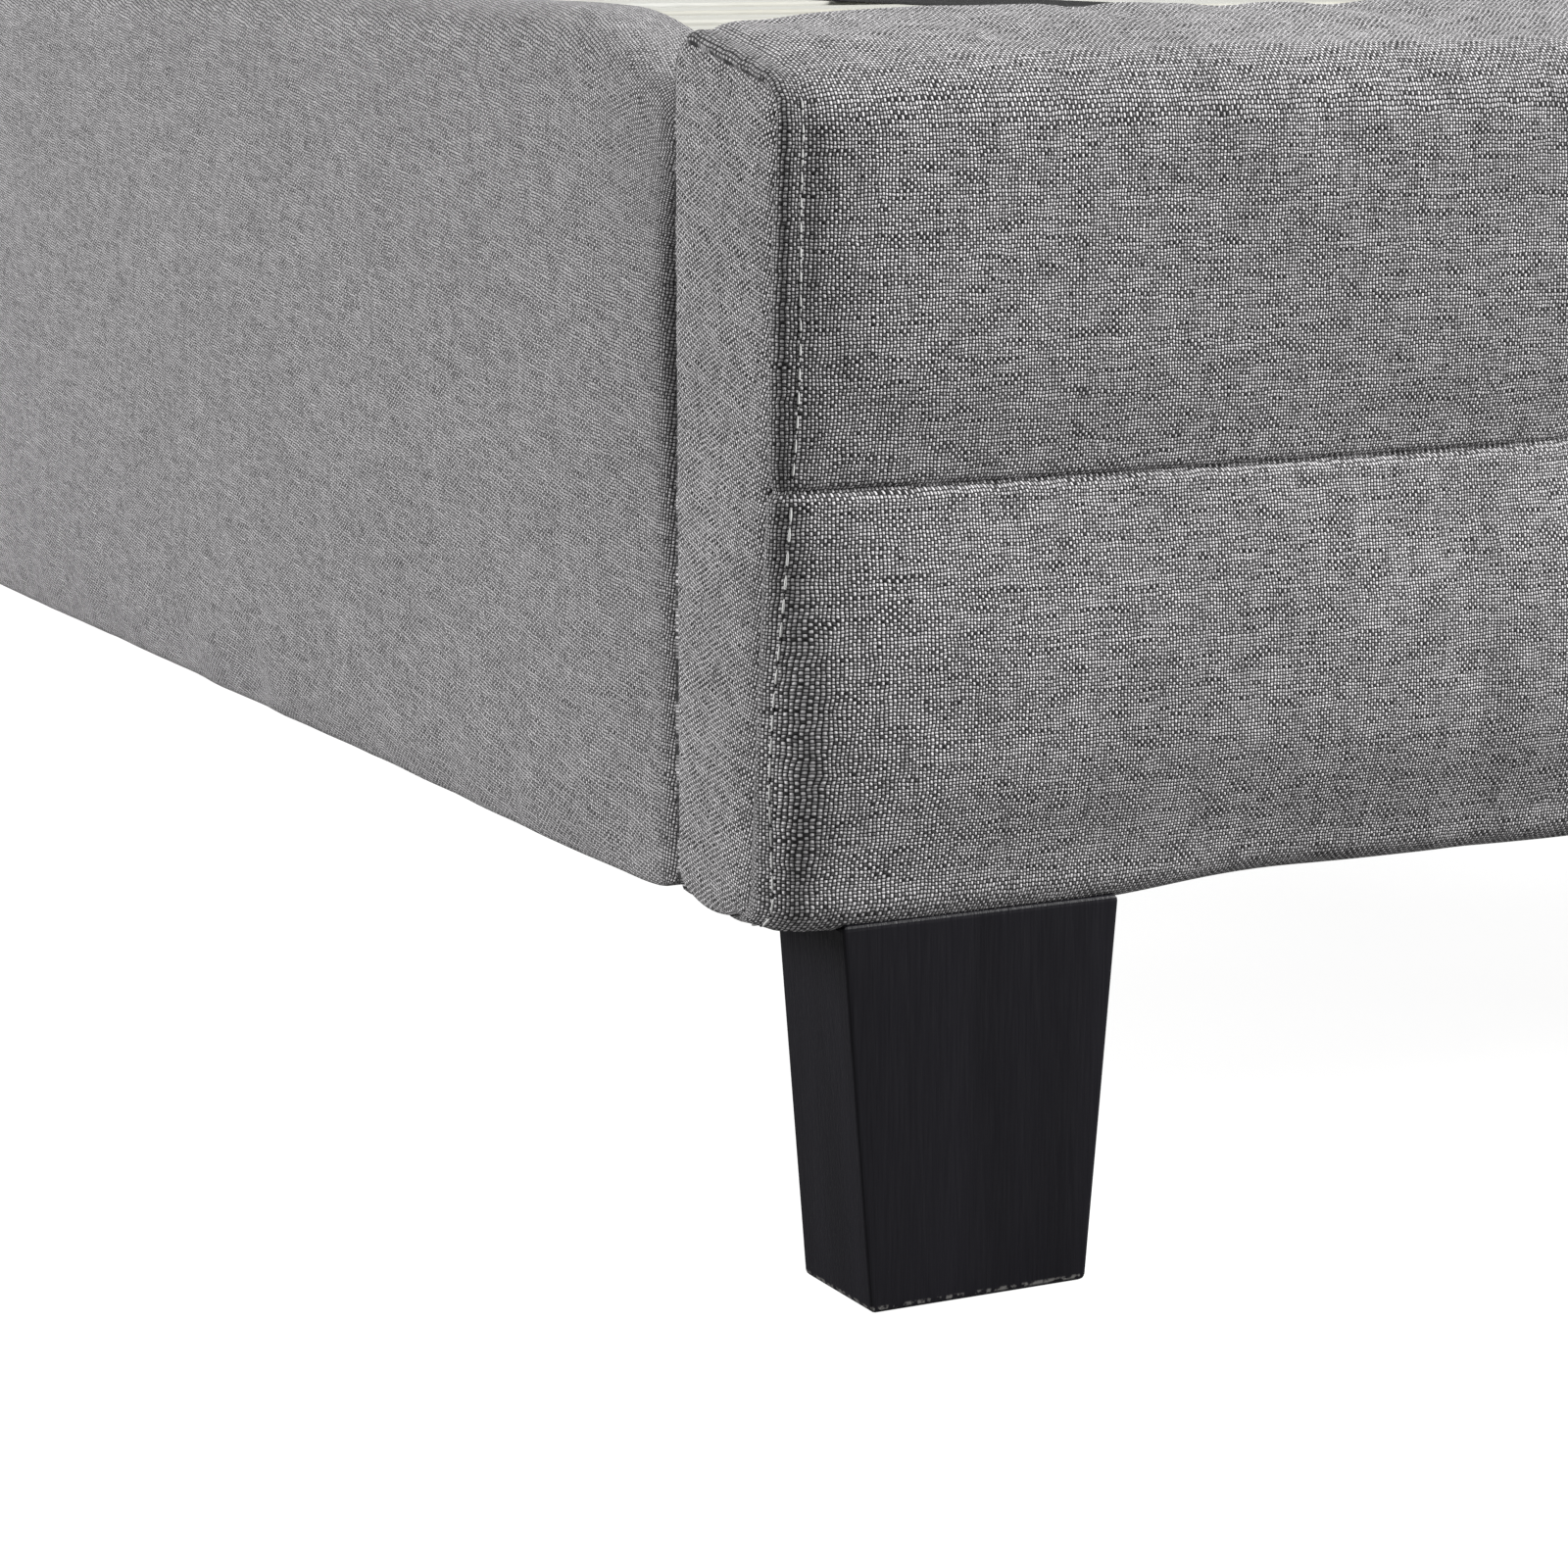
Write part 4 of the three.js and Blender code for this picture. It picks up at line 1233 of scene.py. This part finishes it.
class BED_OT_rail_covers(bpy.types.Operator):
    """The padded covers of the two side rails, pulled down and rounded at their ends."""

    bl_idname = "bed.rail_covers"
    bl_label = "Rail covers"

    def execute(self, context):
        sewing = context.scene.bed_sewing
        line = Outline(rail_section())
        y0, y1 = RAIL_LOW[1] + 0.2 * MM, RAIL_HIGH[1] - 0.2 * MM
        y = stations(y0, y1, sewing.grid * 1.6, [(y0, 0.7 * MM), (y1, 0.7 * MM)])
        bends = [line.where(2 * MM, 0), line.where(RAIL_HIGH[2] - 4 * MM)]
        s = stations(0, line.length, sewing.grid * 1.2, [(b, 1.5 * MM) for b in bends])
        grid_y, grid_s = np.meshgrid(y, s, indexing="ij")
        base, normal = line.at(grid_s), line.normal(grid_s)
        end = np.minimum(grid_y - y0, y1 - grid_y)
        outside = smoothstep(-base[..., 0], -14 * MM, -2 * MM)
        high = smoothstep(base[..., 1], RAIL_HIGH[2] - 80 * MM, RAIL_HIGH[2])
        round_end = 12 * MM
        turn = np.clip(1 - end / round_end, 0, 1)
        lift = -round_end * (1 - np.sqrt(np.maximum(1 - turn**2, 0))) * (0.76 - 0.36 * high)
        lift -= 2.0 * MM * np.exp(-end / (25 * MM))
        rise = swell_of("rail", sewing.swell * 0.6)(grid_y - (y0 + y1) / 2, grid_s)
        lift += rise * outside * smoothstep(end, 0, 60 * MM)
        slit = (2.4 * MM + 6.0 * MM * bump(base[..., 1] - 285 * MM, 60 * MM)) * np.exp(-end / (14 * MM))
        slit *= smoothstep(-base[..., 0], -20 * MM, -8 * MM) * np.sign((y0 + y1) / 2 - grid_y)
        for side, sign in ENDS:
            wave = 1.0 * MM * ripples(grid_y, grid_s, 260 * MM, 51 + sign)
            wave += 0.2 * MM * ripples(grid_y, grid_s, 40 * MM, 61 + sign)
            raised = base + normal * (lift + wave * smoothstep(end, 0, 20 * MM))[..., None]
            drop = RAIL_END_DROP * np.maximum(1 - end / RAIL_END_RUN, 0) ** 2 * high
            height = raised[..., 1] - drop - 3.8 * MM * smoothstep(-base[..., 1], -SKIRT - 50 * MM, -SKIRT)
            outer = np.stack([sign * (HALF - raised[..., 0]), grid_y + slit, height], -1)
            core_u = np.clip(base[..., 0], 9.3 * MM, 29.6 * MM)
            core_z = np.clip(base[..., 1], SKIRT + 2.2 * MM, RAIL_HIGH[2] - 9.4 * MM)
            core_z = np.where(base[..., 1] < SKIRT + 1.8 * MM, SKIRT + 1.8 * MM, core_z)
            core_z = np.where(high > 0, np.minimum(core_z, height - 1.2 * MM), core_z)
            inner = np.stack([sign * (HALF - core_u), grid_y, core_z], -1)
            piece = cover_piece(f"rail_cover_{side}", outer, inner, np.stack([grid_y, grid_s], -1), rail_linen())
            fit(piece, "linen", f"rail_padding_{side}", fill=0.7)
        return {"FINISHED"}


class BED_OT_buttons(bpy.types.Operator):
    """Linen-covered buttons in the tufts."""

    bl_idname = "bed.buttons"
    bl_label = "Buttons"

    def execute(self, context):
        for node in BUTTONS:
            low, high = low_high(node)
            centre = (low + high) / 2
            lean = 0.0
            if node.startswith("head"):
                lean = math.asin((centre[2] - HeadShape.straight) / HeadShape.radius)
            piece = self.button(node, centre, lean)
            fit(piece, "linen", node)
        return {"FINISHED"}

    def button(self, node, centre, lean):
        """A dome that faces the foot end, with a rim that turns under."""
        radius, thick, turns, rings = 11.8 * MM, 5.6 * MM, 32, 9
        profile = [(radius * math.sin(a), thick * math.cos(a)) for a in np.linspace(0, math.pi / 2, rings)]
        profile += [(radius * 0.94, -0.9 * MM), (radius * 0.6, -1.3 * MM)]
        points, uv = [(0, -profile[0][1], 0)], [(0, 0)]
        for r, h in profile[1:]:
            for k in range(turns):
                a = math.tau * k / turns
                points.append((r * math.cos(a), -h, r * math.sin(a)))
                uv.append((r * math.cos(a) * 1.1, r * math.sin(a) * 1.1))
        points.append((0, 1.3 * MM, 0))
        uv.append((0, 0))
        faces = [(0, 1 + k, 1 + (k + 1) % turns) for k in range(turns)]
        for ring in range(len(profile) - 2):
            a, b = 1 + ring * turns, 1 + (ring + 1) * turns
            faces += [(a + k, b + k, b + (k + 1) % turns, a + (k + 1) % turns) for k in range(turns)]
        last = 1 + (len(profile) - 2) * turns
        faces += [(last + k, len(points) - 1, last + (k + 1) % turns) for k in range(turns)]
        matrix = Matrix.Translation(centre + np.array([0, 2.4 * MM, 0])) @ Matrix.Rotation(-lean, 4, "X")
        points = [tuple(matrix @ Vector(p)) for p in points]
        return make_piece("cover_" + node, points, faces, cover_linen(), uv)


# Repeated small pieces


def new_geometry_tree(name, inputs, output):
    """A geometry tree with its sockets, and short ways to add its nodes and links."""
    tree = bpy.data.node_groups.new(name, "GeometryNodeTree")
    for socket, kind, default in inputs:
        made = tree.interface.new_socket(socket, in_out="INPUT", socket_type="NodeSocket" + kind)
        if default is not None:
            made.default_value = default
    tree.interface.new_socket(output, in_out="OUTPUT", socket_type="NodeSocketGeometry")
    return tree, tree.nodes.new, tree.links.new


def realized(make, link, repeat, material):
    """The instances as a real mesh in one material."""
    real, finish = make("GeometryNodeRealizeInstances"), make("GeometryNodeSetMaterial")
    link(repeat.outputs[0], real.inputs[0])
    link(real.outputs[0], finish.inputs["Geometry"])
    link(material, finish.inputs["Material"])
    return finish.outputs[0]


def stitch_tree():
    """Runs stitches along a line: spindles of thread laid nose to tail on the cloth."""
    sizes = [("Pitch", "Float", 6.8 * MM), ("Length", "Float", 5.6 * MM), ("Width", "Float", 0.8 * MM)]
    inputs = [("Line", "Geometry", None), *sizes, ("Thread", "Material", None)]
    tree, make, link = new_geometry_tree("run_of_stitches", inputs, "Stitches")
    given, result = make("NodeGroupInput"), make("NodeGroupOutput")
    curve, spaced = make("GeometryNodeMeshToCurve"), make("GeometryNodeResampleCurve")
    spaced.mode = "LENGTH"
    link(given.outputs["Line"], curve.inputs[0])
    link(curve.outputs[0], spaced.inputs["Curve"])
    link(given.outputs["Pitch"], spaced.inputs["Length"])
    tangent, align = make("GeometryNodeInputTangent"), make("FunctionNodeAlignEulerToVector")
    align.axis = "Z"
    link(tangent.outputs[0], align.inputs["Vector"])
    ball = make("GeometryNodeMeshUVSphere")
    ball.inputs["Segments"].default_value = 8
    ball.inputs["Rings"].default_value = 8
    ball.inputs["Radius"].default_value = 0.5
    size = make("ShaderNodeCombineXYZ")
    for axis, name in enumerate(("Width", "Width", "Length")):
        link(given.outputs[name], size.inputs[axis])
    repeat = make("GeometryNodeInstanceOnPoints")
    link(spaced.outputs[0], repeat.inputs["Points"])
    link(ball.outputs["Mesh"], repeat.inputs["Instance"])
    link(align.outputs[0], repeat.inputs["Rotation"])
    link(size.outputs[0], repeat.inputs["Scale"])
    smooth = make("GeometryNodeSetShadeSmooth")
    link(realized(make, link, repeat, given.outputs["Thread"]), smooth.inputs["Geometry"])
    link(smooth.outputs[0], result.inputs[0])
    return tree


def fastener_tree():
    """Sets one template at every point of a mesh, its top along the point's own outward direction."""
    inputs = [("Places", "Geometry", None), ("Template", "Object", None), ("Finish", "Material", None)]
    tree, make, link = new_geometry_tree("set_of_fasteners", inputs, "Fasteners")
    given, result = make("NodeGroupInput"), make("NodeGroupOutput")
    outward, align = make("GeometryNodeInputNamedAttribute"), make("FunctionNodeAlignEulerToVector")
    outward.data_type = "FLOAT_VECTOR"
    outward.inputs["Name"].default_value = "outward"
    align.axis = "Z"
    link(outward.outputs[0], align.inputs["Vector"])
    template, repeat = make("GeometryNodeObjectInfo"), make("GeometryNodeInstanceOnPoints")
    link(given.outputs["Template"], template.inputs["Object"])
    link(given.outputs["Places"], repeat.inputs["Points"])
    link(template.outputs["Geometry"], repeat.inputs["Instance"])
    link(align.outputs[0], repeat.inputs["Rotation"])
    link(realized(make, link, repeat, given.outputs["Finish"]), result.inputs[0])
    return tree


def grown(name, base_mesh, build, **values):
    """The plain mesh that a geometry tree makes from a base mesh, as a new object."""
    tree = bpy.data.node_groups.get(build.__name__) or build()
    tree.name = build.__name__
    carrier = bpy.data.objects.new(name + "_base", base_mesh)
    bpy.context.scene.collection.objects.link(carrier)
    modifier = carrier.modifiers.new("make", "NODES")
    modifier.node_group = tree
    for item in tree.interface.items_tree:
        if item.in_out == "INPUT" and item.name in values:
            modifier[item.identifier] = values[item.name]
    graph = bpy.context.evaluated_depsgraph_get()
    mesh = bpy.data.meshes.new_from_object(carrier.evaluated_get(graph))
    bpy.data.objects.remove(carrier)
    bpy.data.meshes.remove(base_mesh)
    if not mesh.polygons:
        raise RuntimeError(f"{name} came out empty")
    mesh.name = name
    finish = [material for material in mesh.materials if material]
    mesh.materials.clear()
    mesh.materials.append(finish[0])
    mesh.polygons.foreach_set("material_index", [0] * len(mesh.polygons))
    piece = bpy.data.objects.new(name, mesh)
    bpy.context.scene.collection.objects.link(piece)
    return piece


class BED_OT_topstitch(bpy.types.Operator):
    """The topstitch beside each end seam, on the footboard and the headboard, with dark spots of painted shade at the
    needle holes.
    """

    bl_idname = "bed.topstitch"
    bl_label = "Topstitch"

    def execute(self, context):
        scene = context.scene
        thread = speckled_material("sewing_thread", scene.bed_linen.thread, 0.7, scale=2500.0)
        # Painted shade: the needle holes are dark spots laid on the cloth, for the shade inside each hole.
        hole = speckled_material("needle_hole_shade", scene.bed_linen.dark, 0.9, scale=2500.0)
        sewing = scene.bed_sewing
        pitch, width = sewing.stitch_pitch, sewing.thread_width
        foot, head = foot_cover()[0], head_cover()[0]
        front_top = foot.outline.where(FOOT_TOP - 19 * MM)
        for name, cover, last in (("footboard", foot, front_top), ("headboard", head, head.outline.length - 4 * MM)):
            for side, sign in ENDS:
                line = self.path(cover, sign, last)
                self.sew(f"{name}_topstitch_{side}", line, 0, pitch, pitch * 0.8, width, thread)
                self.sew(f"{name}_needle_holes_{side}", line, pitch / 2, pitch, width * 1.6, width * 1.1, hole)
        return {"FINISHED"}

    def path(self, cover, sign, last):
        """Points of the sewn line, just over the cloth."""
        s = np.linspace(4 * MM, last, 1600)
        phase = np.random.default_rng(71 + sign).uniform(0, math.tau)
        wander = 0.45 * MM * np.sin(s / 0.031 + phase) + 0.25 * MM * np.sin(s / 0.0125)
        base = cover.outline.at(s)
        inset = cover.inset_at(s) + wander
        e = inset - extra_cloth(cover.drift(base), cover.radius(base)) * smoothstep(inset, 0, cover.blend)
        points = cover.place(e, s, sign)
        outward = np.cross(cover.place(e + 0.5 * MM, s, sign) - points, np.gradient(points, axis=0))
        outward /= np.linalg.norm(outward, axis=1, keepdims=True)
        away = np.column_stack([np.zeros(len(s)), cover.outline.normal(s)])
        outward *= np.sign(np.einsum("ij,ij->i", outward, away))[:, None]
        return points + outward * 0.12 * MM

    def sew(self, name, line, start, pitch, length, width, thread):
        along = np.r_[0, np.cumsum(np.linalg.norm(np.diff(line, axis=0), axis=1))]
        line = line[along >= start]
        mesh = bpy.data.meshes.new(name)
        mesh.from_pydata(line.tolist(), [(i, i + 1) for i in range(len(line) - 1)], [])
        values = {"Pitch": pitch, "Length": length, "Width": width, "Thread": thread}
        fit(grown(name, mesh, stitch_tree, **values), "linen")


SCREW_SIDES = 24


def screw_template(radius, height, socket_radius):
    """A domed head with a sunk socket, its top along +Z, as a closed mesh."""
    n = SCREW_SIDES
    rings = [
        (radius * 0.98, -0.4 * MM),
        (radius, height * 0.35),
        (radius * 0.86, height * 0.85),
        (radius * 0.55, height),
        (socket_radius, height),
        (socket_radius * 0.95, height * 0.3),
    ]
    points = [(r * math.cos(math.tau * k / n), r * math.sin(math.tau * k / n), h) for r, h in rings for k in range(n)]
    faces = [tuple(reversed(range(n)))]
    for a in range(0, (len(rings) - 1) * n, n):
        faces += [(a + k, a + (k + 1) % n, a + n + (k + 1) % n, a + n + k) for k in range(n)]
    last = (len(rings) - 1) * n
    faces.append(tuple(last + k for k in range(n)))
    mesh = bpy.data.meshes.new("head_template")
    mesh.from_pydata(points, [], faces)
    template = bpy.data.objects.new("head_template", mesh)
    bpy.context.scene.collection.objects.link(template)
    return template


def fasteners(name, places, template, material, slot):
    """One piece that holds a fastener at each (point, outward direction)."""
    mesh = bpy.data.meshes.new(name)
    mesh.from_pydata([tuple(p) for p, _ in places], [], [])
    outward = mesh.attributes.new("outward", "FLOAT_VECTOR", "POINT")
    outward.data.foreach_set("vector", np.array([d for _, d in places], np.float32).ravel())
    piece = grown(name, mesh, fastener_tree, Template=template, Finish=material)
    bpy.data.objects.remove(template)
    return fit(piece, slot)


class BED_OT_hardware(bpy.types.Operator):
    """Brackets, bolts, slat screws and levelling feet."""

    bl_idname = "bed.hardware"
    bl_label = "Hardware"

    def execute(self, context):
        steel = speckled_material("black_powder_coat", (0.022, 0.022, 0.024), 0.45, 0.0)
        zinc = speckled_material("zinc_plate", (0.62, 0.62, 0.60), 0.35, 1.0, depth=0.02 * MM)
        plastic = speckled_material("black_plastic", (0.015, 0.015, 0.016), 0.5)
        brackets = [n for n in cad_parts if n.startswith(("corner_bracket", "centre_bracket"))]
        for node in brackets:
            dress(node, steel, 0.8 * MM)
        for node in ("level_foot_1", "level_foot_2"):
            dress(node, plastic, 0.4 * MM)
        bolts = [spot for node in brackets if node.startswith("corner") for spot in self.bracket_bolts(node)]
        fasteners("bracket_bolts", bolts, screw_template(7 * MM, 4 * MM, 2.6 * MM), steel, "black_steel")
        screws = self.slat_screws()
        fasteners("slat_screws", screws, screw_template(4 * MM, 1.2 * MM, 1.4 * MM), zinc, "black_steel")
        return {"FINISHED"}

    def bracket_bolts(self, node):
        low, high = low_high(node)
        side = -1 if low[0] < 0 else 1
        toward = 1 if "foot" in node else -1
        face_x = (low[0] if side < 0 else high[0]) - side * 4 * MM
        face_y = (low[1] if toward > 0 else high[1]) + toward * 4 * MM
        middle_x, middle_y = (low[0] + high[0]) / 2 - side * 5 * MM, (low[1] + high[1]) / 2 + toward * 5 * MM
        for z in (low[2] + 22 * MM, high[2] - 22 * MM):
            yield (face_x, middle_y, z), (-side, 0, 0)
            yield (middle_x, face_y, z), (0, toward, 0)

    def slat_screws(self):
        for number in range(1, 13):
            low, high = low_high(f"slat_{number:02d}")
            for x in (low[0] + 11 * MM, high[0] - 11 * MM):
                for y in (low[1] + 18 * MM, high[1] - 18 * MM):
                    yield (x, y, high[2] - 0.4 * MM), (0, 0, 1)


def dress(node, material, ease=None):
    """Gives a node its finish and, where asked, eased edges."""
    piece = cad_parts[node]
    piece.data.materials.clear()
    piece.data.materials.append(material)
    if ease:
        weld = piece.modifiers.new("weld", "WELD")
        weld.merge_threshold = 0.02 * MM
        bevel = piece.modifiers.new("ease", "BEVEL")
        bevel.width, bevel.segments = ease, 3
        bevel.limit_method, bevel.angle_limit = "ANGLE", math.radians(32)
        bevel.use_clamp_overlap = True


class BED_OT_timber(bpy.types.Operator):
    """Legs, slats, rails and the hidden frames."""

    bl_idname = "bed.timber"
    bl_label = "Timber"

    def execute(self, context):
        timber = context.scene.bed_timber
        quarter = math.pi / 2
        across = pale_wood_material("pale_wood", timber)
        lengthways = pale_wood_material("pale_wood_lengthways", timber, quarter)
        painted, ply, webbing = black_paint_material(timber), plywood_material(), webbing_material()
        finishes = [
            (("foot_leg", "head_leg", "centre_leg"), painted, timber.ease),
            (("slat_0", "slat_1", "foot_batten", "foot_stile", "head_rail"), across, timber.ease),
            (("rail_board", "ledger", "centre_rail"), lengthways, timber.ease),
            (("foot_front_board", "head_front_board", "head_rib"), ply, 0.5 * MM),
            (("slat_band",), webbing, 0.4 * MM),
        ]
        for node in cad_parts:
            for starts, material, ease in finishes:
                if node.startswith(starts):
                    dress(node, material, ease)
        return {"FINISHED"}


class BED_PT_panel(bpy.types.Panel):
    """Lists the bed's settings and the steps that make it."""

    bl_idname = "BED_PT_panel"
    bl_label = "Sleigh bed"
    bl_space_type = "VIEW_3D"
    bl_region_type = "UI"
    bl_category = "Sleigh bed"

    def draw(self, context):
        for name, kind in SETTINGS.items():
            box = self.layout.box()
            box.label(text=kind.__doc__)
            for prop in kind.__annotations__:
                box.prop(getattr(context.scene, name), prop)
        for step in STEPS:
            self.layout.operator(step.bl_idname)


STEPS = (
    BED_OT_stage,
    BED_OT_foot_cover,
    BED_OT_head_cover,
    BED_OT_end_panels,
    BED_OT_rail_covers,
    BED_OT_buttons,
    BED_OT_topstitch,
    BED_OT_hardware,
    BED_OT_timber,
)
CLASSES = (*SETTINGS.values(), *STEPS, BED_PT_panel)


def register():
    for kind in CLASSES:
        bpy.utils.register_class(kind)
    for name, kind in SETTINGS.items():
        setattr(bpy.types.Scene, name, bpy.props.PointerProperty(type=kind))


def unregister():
    for name in SETTINGS:
        delattr(bpy.types.Scene, name)
    for kind in reversed(CLASSES):
        bpy.utils.unregister_class(kind)


def main():
    register()
    for step in STEPS:
        getattr(bpy.ops.bed, step.bl_idname.split(".")[1])()


if __name__ == "__main__":
    main()
